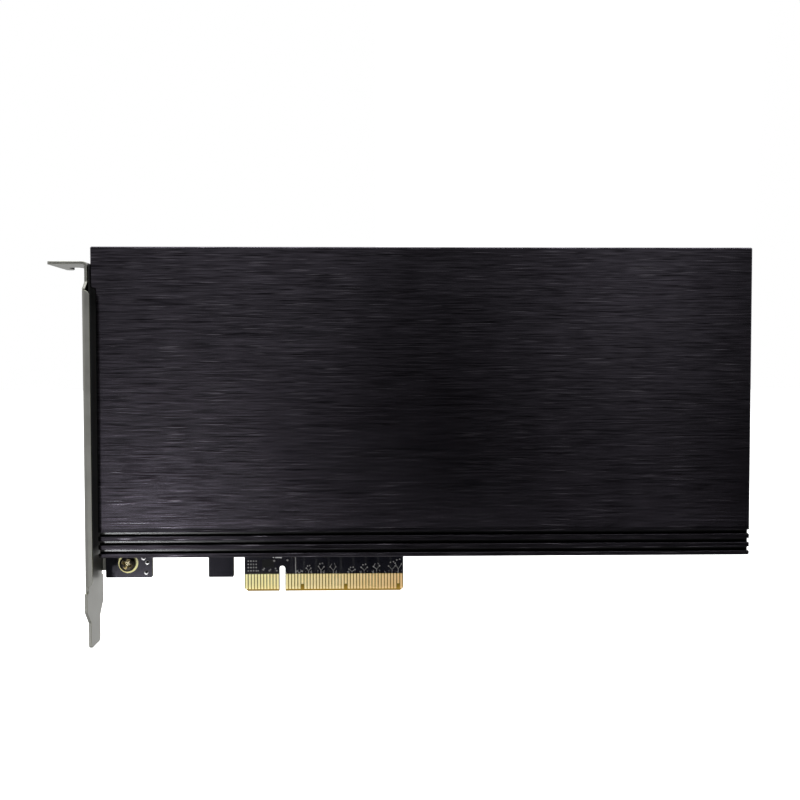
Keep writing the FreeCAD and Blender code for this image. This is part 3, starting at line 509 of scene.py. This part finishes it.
class Piece:
    """A mesh built up from small forms, each with one of the piece's materials."""

    def __init__(self, name, slot, *materials, replaced=()):
        self.name = name
        self.slot = slot
        self.materials = materials
        self.replaced = replaced
        self.mesh = bmesh.new()

    def take(self, form, material=0, matrix=None):
        """Add a finished small form, and free it."""
        if matrix is not None:
            form.transform(matrix)
        for face in form.faces:
            face.material_index = material
        self.merge(finished("spare", form))

    def merge(self, mesh):
        self.mesh.from_mesh(mesh)
        bpy.data.meshes.remove(mesh)

    def box(self, low, high, material=0, rounding=0.0):
        form = bmesh.new()
        low, high = Vector(low), Vector(high)
        size = high - low
        place = Matrix.Translation((low + high) / 2) @ Matrix.Diagonal((*size, 1.0))
        bmesh.ops.create_cube(form, size=1.0, matrix=place)
        if rounding:
            largest_share = 0.45
            soften(form, min(rounding, min(size) * largest_share))
        self.take(form, material)

    def bar(self, across, through, z, half, material):
        """A plain box between two places along X and two along Y, centred on a height."""
        self.box((across[0], through[0], z - half), (across[1], through[1], z + half), material)

    def turned(self, centre, outward, profile, material=0, sides=24):
        """A form turned about Y: its profile gives radius and height, counted from the centre outwards."""
        form = bmesh.new()
        rings = []
        turns = [2 * math.pi * step / sides for step in range(sides)]
        for radius, height in profile:
            angles = turns if radius else [0.0]
            rings.append([form.verts.new((radius * math.cos(a), height * outward, radius * math.sin(a)))
                          for a in angles])
        for near, far in zip(rings, rings[1:]):
            for step in range(sides):
                ahead = (step + 1) % sides
                corners = [near[step % len(near)], near[ahead % len(near)],
                           far[ahead % len(far)], far[step % len(far)]]
                form.faces.new(list(dict.fromkeys(corners)))
        turn_outwards(form)
        self.take(form, material, Matrix.Translation(centre))

    def track(self, face, points, width, thickness=0.02 * mm, material=0):
        """A flat track on a face of the board through points given as X and Z, with round ends."""
        outward = OUTWARD[face]
        level = face + outward * thickness / 2
        for start, end in zip(points, points[1:]):
            run = Vector((end[0] - start[0], 0, end[1] - start[1]))
            stretch = Matrix.Diagonal((run.length, thickness, width, 1.0))
            form = bmesh.new()
            bmesh.ops.create_cube(form, size=1.0, matrix=stretch)
            middle = Vector(((start[0] + end[0]) / 2, level, (start[1] + end[1]) / 2))
            turn = Matrix.Rotation(-math.atan2(run.z, run.x), 4, "Y")
            self.take(form, material, Matrix.Translation(middle) @ turn)
        # the round ends stand a hair higher, so that no two faces lie in one plane
        half, cap = width / 2, thickness * 1.02
        for x, z in points:
            self.turned((x, face, z), outward, [(half, 0), (half, cap), (0, cap)], material, sides=8)

    def pin_one_dot(self, x, y, z, radius):
        sunk = 0.02 * mm
        self.turned((x, y, z), -1, [(radius, -sunk), (radius, 0.0), (0, 0.0)], 2, sides=16)

    def done(self):
        mesh = finished(self.name, self.mesh, self.materials)
        mesh.polygons.foreach_set("use_smooth", [True] * len(mesh.polygons))
        mesh.set_sharp_from_angle(angle=SMOOTH_BELOW)
        piece = shown(self.name, mesh)
        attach(piece, "root")
        if self.replaced:
            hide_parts(*self.replaced)


def detailed(node, slot, *materials):
    """A piece that stands for one of the card's nodes."""
    return Piece(node + "_detailed", slot, *materials, replaced=(node,))


def carved(solid, cutters, materials):
    """The mesh of one form with others cut out of it. The cut faces take the second material."""
    def as_object(form, index):
        for face in form.faces:
            face.material_index = index
        return shown("form", finished("form", form, materials))

    body = as_object(solid, 0)
    tools = [as_object(form, 1) for form in cutters]
    for tool in tools:
        cut = body.modifiers.new("cut", "BOOLEAN")
        cut.operation = "DIFFERENCE"
        cut.solver = "EXACT"
        cut.object = tool
    result = bpy.data.meshes.new_from_object(body.evaluated_get(bpy.context.evaluated_depsgraph_get()))
    for made in (body, *tools):
        bpy.data.objects.remove(made)
    return result


# ---- screws ----

def screw_mesh(radius, height, dome, shank_radius, shank_length, recess):
    """A cross-recess screw about the origin: its head towards -Y from 0, its threaded shank towards +Y."""
    steps = 6
    crown = [(radius - dome + dome * math.cos(math.radians(90 * step / steps)),
              height - dome + dome * math.sin(math.radians(90 * step / steps))) for step in range(steps + 1)]
    flat = (radius - dome) * 0.5
    thread_pitch, thread_depth = shank_radius * 0.3, shank_radius * 0.12
    shank = []
    for turn in range(max(1, int(shank_length / thread_pitch))):
        start = -shank_length + turn * thread_pitch
        shank += [(shank_radius - thread_depth, start), (shank_radius, start + thread_pitch / 2)]
    shank.append((shank_radius - thread_depth, 0))
    profile = [(0, -shank_length), *shank, (radius, 0), *crown, (flat, height + 0.02 * mm),
               (0, height + 0.03 * mm)]
    head = Piece("head", "", None)
    head.turned((0, 0, 0), -1, profile, sides=40)
    # the recess narrows inwards. Its reach and half width are shares of its size, its level of the head
    mouth, bottom = (1.0, 0.3, 1.05), (0.45, 0.17, 0.32)
    cutters = []
    for turn in (0, 90):
        arm = bmesh.new()
        bmesh.ops.create_cube(arm, size=2.0)
        for vertex in arm.verts:
            reach, wide, level = mouth if vertex.co.y < 0 else bottom
            x, z = vertex.co.x * (recess * reach), vertex.co.z * (recess * wide)
            vertex.co = Vector((x, -height * level, z))
        arm.transform(turned_by(turn))
        cutters.append(arm)
    # a conical pit where the arms meet
    pit_mouth, pit_bottom, pit_depth, pit_middle = recess * 0.58, recess * 0.2, height * 0.85, height * 0.64
    pit = bmesh.new()
    bmesh.ops.create_cone(pit, cap_ends=True, segments=16, radius1=pit_mouth, radius2=pit_bottom,
                          depth=pit_depth,
                          matrix=Matrix.Translation((0, -pit_middle, 0)) @ turned_by(-90, "X"))
    cutters.append(pit)
    # the recess's cut faces take the painted glint
    return carved(head.mesh, cutters, (SCREW, PAINTED_GLINT_RECESS))


def screws(node, level, outward, dome, shank_radius, recess, first_turn, turn_step):
    """Every screw in a node, its head standing outward on a level along Y and each turned further."""
    piece = detailed(node, "black_screw", SCREW, PAINTED_GLINT_RECESS)
    flip = turned_by(180.0 if outward > 0 else 0.0, "Z")
    for number, (low, high) in enumerate(solids(node)):
        head, shank = (high.y - level, level - low.y) if outward > 0 else (level - low.y, high.y - level)
        mesh = screw_mesh((high.x - low.x) / 2, head, dome, shank_radius, shank, recess)
        centre = Vector(((low.x + high.x) / 2, level, (low.z + high.z) / 2))
        mesh.transform(Matrix.Translation(centre) @ flip @ turned_by(first_turn + turn_step * number))
        piece.merge(mesh)
    piece.done()


# ---- small soldered parts ----

def along_x(low, high):
    return high.x - low.x >= high.z - low.z


def end_caps(piece, low, high, share, rounding):
    """A body with a tinned cap over each end of its long side."""
    axis = 0 if along_x(low, high) else 2
    reach = (high[axis] - low[axis]) * share
    near, far = high.copy(), low.copy()
    near[axis] = low[axis] + reach
    far[axis] = high[axis] - reach
    inset = Vector((0.02 * mm, 0.02 * mm, 0.02 * mm))
    inset[axis] = 0.03 * mm
    piece.box(low + inset, high - inset, 0, rounding)
    piece.box(low, near, 1, rounding)
    piece.box(far, high, 1, rounding)


def solder_fillets(piece, low, high, face):
    """A low wedge of solder at each end of a part."""
    axis = 0 if along_x(low, high) else 2
    run, tallest = 0.22 * mm, 0.25 * mm
    rise = min(tallest, abs(high.y - low.y) * 0.5)
    for end, way in ((low, -1), (high, 1)):
        form = bmesh.new()
        corners = []
        for side in (low[2 - axis], high[2 - axis]):
            for step, up in ((0, 0), (way * run, 0), (0, OUTWARD[face] * rise)):
                point = Vector((0, face + up, 0))
                point[axis] = end[axis] + step
                point[2 - axis] = side
                corners.append(form.verts.new(point))
        a, b, c, d, e, f = corners
        for corner_list in ((a, b, c), (d, f, e), (a, d, e, b), (b, e, f, c), (c, f, d, a)):
            form.faces.new(corner_list)
        turn_outwards(form)
        piece.take(form, 2)


# node, its finish, how much of its length each cap takes, the face it is soldered to and its rounding
CHIP_PARTS = (
    ("coupling_capacitors", "capacitor_ceramic", CERAMIC, 0.25, BACK, 0.05 * mm),
    ("decoupling_capacitors", "capacitor_ceramic", CERAMIC, 0.25, BACK, 0.05 * mm),
    ("ceramic_capacitors", "capacitor_ceramic", CERAMIC, 0.2, FRONT, 0.1 * mm),
    ("output_capacitors", "capacitor_ceramic", CERAMIC, 0.2, FRONT, 0.1 * mm),
    ("led_resistors", "resistor_body", RESISTOR, 0.2, FRONT, 0.05 * mm),
    ("indicator_leds", "led_lens", LENS, 0.18, FRONT, 0.05 * mm),
    ("input_fuse", "fuse_body", FUSE, 0.22, FRONT, 0.15 * mm),
)


def chip_parts():
    """Every two-ended chip part, with caps and solder."""
    for node, slot, body, share, face, rounding in CHIP_PARTS:
        piece = detailed(node, slot, body, TIN, SOLDER)
        for low, high in solids(node):
            end_caps(piece, low, high, share, rounding)
            solder_fillets(piece, low, high, face)
        piece.done()


def bulk_capacitors():
    """Moulded tantalum blocks with folded terminals and a polarity bar."""
    piece = detailed("bulk_capacitors", "tantalum_case", TANTALUM, TIN, CASE)
    lead, lead_inset, lead_rise = 0.12 * mm, 0.8 * mm, 1.4 * mm
    bar, bar_inset, bar_margin = 0.9 * mm, 0.25 * mm, 0.3 * mm
    for low, high in solids("bulk_capacitors"):
        shelf = Vector((0, 0, lead))
        piece.box(low + shelf, high - shelf, 0, 0.25 * mm)
        left, right = low.x + lead_inset, high.x - lead_inset
        for bottom, top in ((low.z, low.z + lead), (high.z - lead, high.z)):
            piece.box((left, high.y - lead_rise, bottom), (right, high.y, top), 1)
        piece.box((low.x + bar_inset, low.y, high.z - lead - bar_margin - bar),
                  (high.x - bar_inset, low.y + bar_margin, high.z - lead - bar_margin), 2)
    piece.done()


def power_inductors():
    """Pressed inductors: a block with its corners cut, on two terminals."""
    piece = detailed("power_inductors", "inductor_case", FERRITE, TIN)
    foot, cut, rounding = 0.15 * mm, 0.9 * mm, 0.15 * mm
    terminal_length, terminal_rise, terminal_half = 1.8 * mm, 1.1 * mm, 1.6 * mm
    for low, high in solids("power_inductors"):
        middle = (low + high) / 2
        form = bmesh.new()
        left, right, bottom, top = low.x, high.x, low.z, high.z
        outline = [(left + cut, bottom), (right - cut, bottom), (right, bottom + cut), (right, top - cut),
                   (right - cut, top), (left + cut, top), (left, top - cut), (left, bottom + cut)]
        face = form.faces.new([form.verts.new((x, high.y - foot, z)) for x, z in outline])
        grown = bmesh.ops.extrude_face_region(form, geom=[face])
        moved = [item for item in grown["geom"] if isinstance(item, bmesh.types.BMVert)]
        bmesh.ops.translate(form, verts=moved, vec=(0, low.y - high.y + foot, 0))
        turn_outwards(form)
        soften(form, rounding)
        piece.take(form, 0)
        for start in (left, right - terminal_length):
            piece.bar((start, start + terminal_length), (high.y - terminal_rise, high.y), middle.z,
                      terminal_half, 1)
    piece.done()


def flat_packages():
    """Regulators and the clock buffer: thin moulded blocks, leads all round and a dot by pin one."""
    count, width, length, rise, dot_inset = 6, 0.26 * mm, 0.35 * mm, 0.2 * mm, 0.8 * mm
    for node in ("voltage_regulators", "clock_buffer"):
        piece = detailed(node, "chip_case", CASE, TIN, HOLE)
        for low, high in solids(node):
            sunk = Vector((0.06 * mm, 0, 0.06 * mm))
            piece.box(low + sunk, high - sunk, 0, 0.04 * mm)
            for step in range(count):
                for axis in (0, 2):
                    place = low[axis] + (high[axis] - low[axis]) * (step + 1) / (count + 1)
                    for edge in (low[2 - axis], high[2 - axis] - length):
                        corner, size = Vector((0, high.y - rise, 0)), Vector((0, rise, 0))
                        corner[axis], size[axis] = place - width / 2, width
                        corner[2 - axis], size[2 - axis] = edge, length
                        piece.box(corner, corner + size, 1)
            piece.pin_one_dot(low.x + dot_inset, low.y, high.z - dot_inset, 0.25 * mm)
        piece.done()


def memory_chip():
    """An eight-lead package with bent leads."""
    piece = detailed("configuration_memory", "chip_case", CASE, TIN, HOLE)
    low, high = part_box("configuration_memory")
    lift, lead_run, lead_half, dot_inset = 0.15 * mm, 0.45 * mm, 0.2 * mm, 0.7 * mm
    # the leads leave level, drop and end in a flat foot
    level_half, drop, foot_rise, leads = 0.08 * mm, 0.12 * mm, 0.14 * mm, 4
    inner = Vector((0, 0, lead_run))
    piece.box(low + inner, Vector((high.x, high.y - lift, high.z - lead_run)), 0, 0.08 * mm)
    level = (low.y + high.y) / 2
    for step in range(leads):
        x = low.x + (high.x - low.x) * (step + 0.5) / leads
        for foot, root, way in ((low.z, low.z + lead_run, 1), (high.z, high.z - lead_run, -1)):
            knee = foot + way * lead_run * 0.5
            for a, b, top, bottom in ((root, knee, level - level_half, level + level_half),
                                      (knee, knee - way * drop, level - level_half, high.y),
                                      (knee, foot, high.y - foot_rise, high.y)):
                piece.box((x - lead_half, top, min(a, b)), (x + lead_half, bottom, max(a, b)), 1)
    piece.pin_one_dot(low.x + dot_inset, low.y, low.z + lead_run + dot_inset, 0.3 * mm)
    piece.done()


def crystal():
    """A metal can on a ceramic base, let a little way into it."""
    piece = detailed("clock_crystal", "crystal_can", NICKEL, FUSE)
    low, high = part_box("clock_crystal")
    base, can_foot, rim = high.y - 0.5 * mm, high.y - 0.45 * mm, 0.25 * mm
    piece.box((low.x, base, low.z), high, 1, 0.05 * mm)
    piece.box((low.x + rim, low.y, low.z + rim), (high.x - rim, can_foot, high.z - rim), 0, 0.2 * mm)
    piece.done()


BALL_PITCH, BALL_COUNT = 1.0 * mm, 18
FIRST_BALL = -(BALL_COUNT - 1) / 2 * BALL_PITCH


def switch_chip():
    """The switch chip: rows of solder balls, a laminate substrate and a stepped metal lid."""
    piece = detailed("switch_chip", "chip_lid", LID, SUBSTRATE, SOLDER)
    low, high = CHIP_LOW, CHIP_HIGH
    ball, ball_rows, substrate, board_side = 0.45 * mm, 2, 1.15 * mm, high.y
    substrate_top = board_side - ball - substrate
    piece.box((low.x, substrate_top, low.z), (high.x, board_side - ball, high.z), 1, 0.05 * mm)
    middle = (low + high) / 2
    lid_half, brim_half, brim, overlap = 6.5 * mm, 8.4 * mm, 0.35 * mm, 0.3 * mm
    for half, bottom, top in ((brim_half, substrate_top, substrate_top - brim),
                              (lid_half, substrate_top - overlap, low.y)):
        piece.box((middle.x - half, top, middle.z - half), (middle.x + half, bottom, middle.z + half), 0,
                  0.12 * mm)
    neck, belly = 0.2 * mm, 0.29 * mm
    barrel = [(neck, 0), (belly, ball * 0.3), (belly, ball * 0.7), (neck, ball)]
    last = BALL_COUNT - 1
    for row in range(BALL_COUNT):
        for column in range(BALL_COUNT):
            if min(row, column, last - row, last - column) < ball_rows:
                place = (middle.x + FIRST_BALL + column * BALL_PITCH, board_side,
                         middle.z + FIRST_BALL + row * BALL_PITCH)
                piece.turned(place, -1, barrel, 2, sides=8)
    piece.done()


def drive_sockets():
    """Contacts of the drive sockets: a row of tails behind each socket and springs in its slot."""
    pitch, row_half, thickness = 0.5 * mm, 9.2 * mm, 0.12 * mm
    tail_out, tail_in, tail_half = 0.9 * mm, 0.2 * mm, 0.11 * mm
    spring_back, spring_front, spring_half, slot_floor = 3.4 * mm, 2.6 * mm, 0.1 * mm, FRONT - 2.35 * mm
    for node in SOCKETS:
        low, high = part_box(node)
        towards_far = (low.x + high.x) / 2 > (COVER_LOW.x + COVER_HIGH.x) / 2
        way = 1 if towards_far else -1
        back, front = (low.x, high.x) if towards_far else (high.x, low.x)
        piece = Piece(node + "_contacts", "gold_plate", GOLD, TIN)
        middle = (low.z + high.z) / 2
        tail = sorted((back - way * tail_out, back + way * tail_in))
        spring = sorted((back + way * spring_back, front - way * spring_front))
        for place in range(-18, 19):
            z = middle + place * pitch
            if abs(place * pitch) < row_half:
                piece.bar(tail, (FRONT - thickness, FRONT), z, tail_half, 1)
                piece.bar(spring, (slot_floor - thickness, slot_floor), z, spring_half, 0)
        piece.done()


# ---- tracks, holes and marks on the board ----

PRINT_RISE = 0.012 * mm


def tented_hole(piece, face, x, z, radius):
    """A small hole closed by the mask, which dips over it."""
    piece.turned((x, face, z), OUTWARD[face],
                 [(radius, 0), (radius * 0.85, 0.025 * mm), (radius * 0.3, 0.03 * mm), (0, 0.018 * mm)],
                 1, sides=12)


def plated_hole(piece, face, x, z):
    """A ring of solder, thicker at its lower left, round an open hole; the hole's dark inside is painted
    shade, a near-black disc set towards its upper right.
    """
    outer, inner, lip = 0.72 * mm, 0.44 * mm, 0.1 * mm
    shift = (outer - inner) * 0.55
    piece.turned((x, face, z), OUTWARD[face],
                 [(outer, 0), (outer * 0.93, lip * 0.8), ((outer + inner) / 2, lip), (0, lip)], 0)
    # painted shade: a near-black disc stands for the dark inside of the hole
    piece.turned((x + shift, face, z + shift), OUTWARD[face],
                 [(inner, 0), (inner, lip * 1.1), (0, lip * 1.1)], 1)


# holes over the signal contacts stand in groups: where each one is and how high it reaches, in millimetres
HOLE_GROUPS = ((5.4, 6.9), (8.5, 8.3), (12.7, 9.0), (16.2, 9.0), (22.7, 7.7), (27.0, 8.6), (30.8, 9.0),
               (35.2, 9.4), (37.8, 10.2))


def connector_tracks(face, side_name, seed):
    """Tracks that rise from the edge contacts: signal pairs, and earth contacts that fork to two holes."""
    piece = Piece("connector_tracks_" + side_name, "board_mask", COVERED_COPPER, TENTED, HOLE)
    draw = random.Random(seed)
    contacts = sorted({round((low.x + high.x) / 2, 6) for low, high in solids("edge_contacts_" + side_name)})
    near = [x for x in contacts if x < 0]
    far = [x for x in contacts if x > 0]
    foot, pitch = PADS_HIGH.z, 1.0 * mm

    def pale(width, *points):
        piece.track(face, points, width * mm, material=1)

    def dark(width, *points):
        piece.track(face, points, width * mm)

    def hole(x, z, radius):
        tented_hole(piece, face, x, z, radius * mm)

    for number, (middle, top) in enumerate(HOLE_GROUPS):
        x = min(far, key=lambda contact: abs(contact - middle * mm))
        rise = top * mm - foot
        fork = foot + rise * (0.3 + 0.15 * draw.random())
        pale(0.22, (x, foot), (x, fork))
        for side in (-1, 1):
            reach = side * (0.7 + 0.45 * draw.random()) * mm
            tip = (x + reach, foot + rise * (0.62 + 0.14 * draw.random()))
            pale(0.16, (x, fork), tip)
            hole(*tip, 0.25)
            high = (x + reach * 0.45, foot + rise * (0.95 if side < 0 else 1.0))
            if number % 3:
                hole(*high, 0.24)
            else:
                pale(0.14, tip, high)
            beside = x + side * pitch
            pale(0.14, (beside, foot), (beside, foot + (0.7 + 0.5 * draw.random()) * mm))
    for number, x in enumerate(far):
        lane = number % 4
        if lane == 0:
            pale(0.13, (x, foot), (x - 0.45 * mm, foot + 0.75 * mm))
        if lane in (1, 2):
            # one track of a pair, drawn together and on up under the cover
            join = x + (0.32 if lane == 1 else -0.32) * mm
            dark(0.14, (x, foot), (x, foot + 0.6 * mm), (join, foot + 1.4 * mm), (join, foot + 8.6 * mm))
    # supply contacts: a field of holes above the short row
    for column in range(4):
        for row in range(4):
            hole(near[0] + (0.55 + 0.85 * column) * mm, foot + (1.1 + 1.05 * row) * mm, 0.27)
    for number, x in enumerate(near):
        dark(0.3, (x, foot), (x, foot + (0.8 + 0.5 * (number % 2)) * mm))
    for number, x in enumerate(near[4:]):
        tip = (x + (0.35 if number % 2 else -0.3) * mm, foot + (1.1 + 0.35 * (number % 3)) * mm)
        dark(0.2, (x, foot), tip)
        hole(*tip, 0.25)
    # a bare window in the mask, for a part that isn't fitted
    window = sorted((face, face + OUTWARD[face] * PRINT_RISE))
    piece.box((-6.5 * mm, window[0], 7.7 * mm), (-2.6 * mm, window[1], 10.4 * mm), 2)
    # the clock's wide guard track beside the notch, and the holes on both sides of it
    guard = far[3] - 0.2 * mm
    pale(0.3, (guard, foot), (guard, BOARD_LOW.z + 12.9 * mm))
    hole(far[0] + 0.2 * mm, foot + 4.5 * mm, 0.33)
    hole(near[-1] - 1.1 * mm, foot + 4.3 * mm, 0.36)
    piece.done()


def stitching_holes():
    """Plated holes beside the lower bracket screw, on both faces."""
    piece = Piece("stitching_holes", "gold_plate", SOLDER, HOLE)
    low, high = solids("bracket_screws")[0]
    centre = (low + high) / 2
    for across, up in ((4.85, 1.6), (6.05, 0.15), (5.7, -3.1)):
        for face in (FRONT, BACK):
            plated_hole(piece, face, centre.x + across * mm, centre.z + up * mm)
    piece.done()


def marks():
    """Printed marks: bars by the key notch, rings round the cover's screws and lines round parts."""
    piece = Piece("printed_marks", "board_mask", INK)
    bar_z, bar_rise, thin, fine = 10.94 * mm, 0.015 * mm, 0.15 * mm, 0.1 * mm
    piece.track(FRONT, [(-2.1 * mm, bar_z), (-0.35 * mm, bar_z)], 0.34 * mm, bar_rise)
    piece.track(FRONT, [(-3.0 * mm, bar_z + 0.1 * mm), (-2.65 * mm, bar_z)], 0.2 * mm, bar_rise)
    ring_margin, part_margin, chip_margin = 0.6 * mm, 0.28 * mm, 0.6 * mm
    for low, high in solids("cover_screws"):
        middle, radius = (low + high) / 2, (high.x - low.x) / 2 + ring_margin
        outer, inner = radius + thin / 2, radius - thin / 2
        piece.turned((middle.x, BACK, middle.z), OUTWARD[BACK],
                     [(outer, 0), (outer, PRINT_RISE), (inner, PRINT_RISE), (inner, 0)], sides=48)
    for low, high in solids("coupling_capacitors") + solids("decoupling_capacitors"):
        if along_x(low, high):
            lines = [[(low.x, z), (high.x, z)] for z in (low.z - part_margin, high.z + part_margin)]
        else:
            lines = [[(x, low.z), (x, high.z)] for x in (low.x - part_margin, high.x + part_margin)]
        for line in lines:
            piece.track(BACK, line, fine, PRINT_RISE)
    left, right = CHIP_LOW.x - chip_margin, CHIP_HIGH.x + chip_margin
    bottom, top = CHIP_LOW.z - chip_margin, CHIP_HIGH.z + chip_margin
    for face in (FRONT, BACK):
        piece.track(face, [(left, bottom), (right, bottom), (right, top), (left, top), (left, bottom)], thin,
                    PRINT_RISE)
    piece.done()


def back_of_chip():
    """The field of holes behind the switch chip, left open where the small capacitors stand."""
    piece = Piece("chip_escape_field", "board_mask", TENTED)
    middle = (CHIP_LOW + CHIP_HIGH) / 2
    taken = solids("decoupling_capacitors")
    margin, rim, flat, dip = 0.25 * mm, 0.22 * mm, 0.2 * mm, 0.016 * mm
    steps = [FIRST_BALL + step * BALL_PITCH + BALL_PITCH / 2 for step in range(BALL_COUNT)]
    for z in (middle.z + step for step in steps):
        for x in (middle.x + step for step in steps):
            if not any(low.x - margin < x < high.x + margin and low.z - margin < z < high.z + margin
                       for low, high in taken):
                piece.turned((x, BACK, z), OUTWARD[BACK], [(rim, 0), (flat, 0.02 * mm), (0, dip)], sides=8)
    piece.done()


def long_tracks():
    """Bundles of paired tracks on the back, from the chip to the two drive sockets in the far half."""
    piece = Piece("back_tracks", "board_mask", COVERED_COPPER, TENTED)
    chip_x, chip_top = (CHIP_LOW.x + CHIP_HIGH.x) / 2, CHIP_HIGH.z
    width, half_gap, lane_pitch, rail_pitch, bend = 0.13 * mm, 0.16 * mm, 1.5 * mm, 0.9 * mm, 2.0 * mm
    for node, first_rail in (("drive_socket_2", 2.0 * mm), ("drive_socket_4", 10.5 * mm)):
        low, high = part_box(node)
        target = (low + high) / 2
        for lane in range(8):
            offset = (lane - 3.5) * lane_pitch
            rail = chip_top + first_rail + lane * rail_pitch
            end_z = target.z + offset * 0.9
            for pair in (-half_gap, half_gap):
                start = chip_x + offset + pair
                end = target.x + 0.5 * mm + offset * 0.2 + pair
                piece.track(BACK, [(start, chip_top - 1.0 * mm), (start, rail - bend), (start + bend, rail),
                                   (end - bend, rail), (end, rail + bend), (end, end_z)], width, 0.015 * mm)
                tented_hole(piece, BACK, end, end_z, 0.24 * mm)
    piece.done()


# ---- put the card together ----

FINISHES = {
    ANODISED: ["heatsink_cover"],
    BOARD: ["circuit_board"],
    GOLD: ["edge_contacts_front", "edge_contacts_back", "bracket_hole_rings"],
    STEEL: ["io_bracket"],
    NICKEL: ["cover_spacers", "drive_standoffs"],
    SOCKET: SOCKETS,
    PAD: ["switch_thermal_pad", *(f"drive_thermal_pad_{number}" for number in range(1, 5))],
}


def dress(name, material):
    nodes[name].data.materials.clear()
    nodes[name].data.materials.append(material)


def build_card():
    for material, names in FINISHES.items():
        for name in names:
            dress(name, material)
    screws("bracket_screws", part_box("bracket_hole_rings")[0].y, -1, 0.85 * mm, 1.44 * mm, 1.75 * mm, 24, 31)
    screws("cover_screws", BACK, 1, 0.5 * mm, 1.19 * mm, 1.5 * mm, 17, 47)
    stitching_holes()
    connector_tracks(FRONT, "front", 7)
    connector_tracks(BACK, "back", 11)
    marks()
    back_of_chip()
    long_tracks()
    chip_parts()
    bulk_capacitors()
    power_inductors()
    flat_packages()
    memory_chip()
    crystal()
    switch_chip()
    drive_sockets()
    # the nodes that detailed pieces stand for still get a finish of their own
    for name, node in nodes.items():
        if node.hide_render:
            dress(name, CASE)


# ---- studio ----

def make_camera():
    """A third of a metre in front of the card, above its middle, turned slightly right and down."""
    camera = bpy.data.cameras.new("camera")
    camera.lens = 46.0
    camera.sensor_width = 36.0
    camera.clip_start = 0.01
    made = shown("camera", camera)
    yaw, pitch, roll = -0.0232, -0.0363, -0.001
    upright = Matrix.Rotation(yaw, 4, "Z") @ Matrix.Rotation(math.pi / 2 + pitch, 4, "X")
    stand = Matrix.Translation((30.5 * mm, -330.0 * mm, 73.8 * mm))
    made.matrix_world = stand @ upright @ Matrix.Rotation(roll, 4, "Z")
    bpy.context.scene.camera = made


def light_studio():
    """One broad softbox above the card and in front of it."""
    light = bpy.data.lights.new("top_softbox", "AREA")
    light.shape = "RECTANGLE"
    light.size, light.size_y = 0.7, 0.4
    light.energy = 5.0
    made = shown("top_softbox", light)
    made.location = (0.05, -0.2, 0.6)
    aim = (COVER_LOW + COVER_HIGH) / 2 - made.location
    made.rotation_euler = aim.to_track_quat("-Z", "Y").to_euler()
    made.visible_camera = False


def make_floor():
    """A wide pale floor just under the bracket's tail."""
    form = bmesh.new()
    bmesh.ops.create_grid(form, x_segments=8, y_segments=8, size=3.0,
                          matrix=Matrix.Translation((0.05, 0.0, cad_box[0].z - 0.2 * mm)))
    net = Finish("floor_white")
    glow = 0.85
    white = net.done(Base_Color=net.blend(net.mottle(6.0), (0.8, 0.8, 0.8), (0.83, 0.83, 0.83)),
                     Roughness=0.9, Emission_Color=(1.0, 1.0, 1.0, 1.0),
                     Emission_Strength=net.times(net.add("LightPath").outputs["Is Camera Ray"], glow))
    made = shown("floor", finished("floor", form, [white]))
    # the card's polish reads the studio's panels, not this sheet
    made.visible_glossy = False


def make_world():
    """White behind the card for the camera. For light and reflections, a studio of broad soft panels.

    Panels are placed by azimuth, from straight in front of the cover towards +X, and by elevation. A fade
    runs from its low level at the first angle, in degrees, to its high level at the second.
    """
    world = bpy.data.worlds.new("studio")
    bpy.context.scene.world = world
    world.use_nodes = True
    net = Net(world.node_tree)
    net.tree.nodes.clear()
    way = net.parts(net.add("TexCoord").outputs["Generated"])
    azimuth = net.calculate("ARCTAN2", way["X"], net.times(way["Y"], -1.0))
    elevation = net.calculate("ARCSINE", way["Z"])

    def fade(angle, start, end, low=0.0, high=1.0):
        return net.span(angle, math.radians(start), math.radians(end), low, high, smooth=True)

    def across(*ends):
        return fade(azimuth, *ends)

    def upward(*ends):
        return fade(elevation, *ends)

    lean = -0.16
    left_panel = fade(net.plus(azimuth, net.times(elevation, lean)), 0.6, -5.2, 0.0, 0.186)
    left_panel = net.times(left_panel, across(-17.5, -13.0, 0.5, 1.0))
    low_glow = net.times(across(-4.0, -13.0, 0.0, 0.3), upward(2.0, -9.0))
    table_edge = net.times(across(-16.5, -13.5), across(-10.0, -12.6, 0.0, 9.0), upward(-11.0, -12.8),
                           upward(-15.5, -13.8))
    right_panel = net.times(across(4.0, 14.5), across(19.5, 17.2), upward(-11.0, 7.0, 0.055, 0.24))
    dark_gap = upward(-9.0, 9.0, 0.0, 0.1)
    floor_glow = net.times(upward(-14.0, -18.0, 0.0, 2.6), across(4.0, -8.0, 0.6, 1.6))
    floor_fall = net.times(upward(-45.0, -26.0, 0.35, 1.0), across(-17.5, -12.0, 0.25, 1.0))
    front = net.plus(left_panel, right_panel, dark_gap,
                     net.plus(low_glow, table_edge, net.times(floor_glow, floor_fall)))
    around = net.plus(upward(-20.0, 60.0, 0.72, 0.85),
                      net.times(across(150.0, 172.0), upward(-25.0, -12.0, 0.0, 0.6)))
    off_front = fade(net.absolute(azimuth), 26.0, 55.0)
    general = net.greater(off_front, upward(14.0, 45.0))
    level = net.plus(net.times(front, net.minus(1.0, general)), net.times(around, general))
    level = net.greater(level, net.add("LightPath").outputs["Is Camera Ray"])
    background = net.add("Background", Color=(1.0, 1.0, 1.0, 1.0), Strength=level)
    net.add("OutputWorld", Surface=background.outputs[0])


build_card()
make_camera()
make_floor()
make_world()
light_studio()
bpy.context.scene.view_settings.view_transform = "Standard"
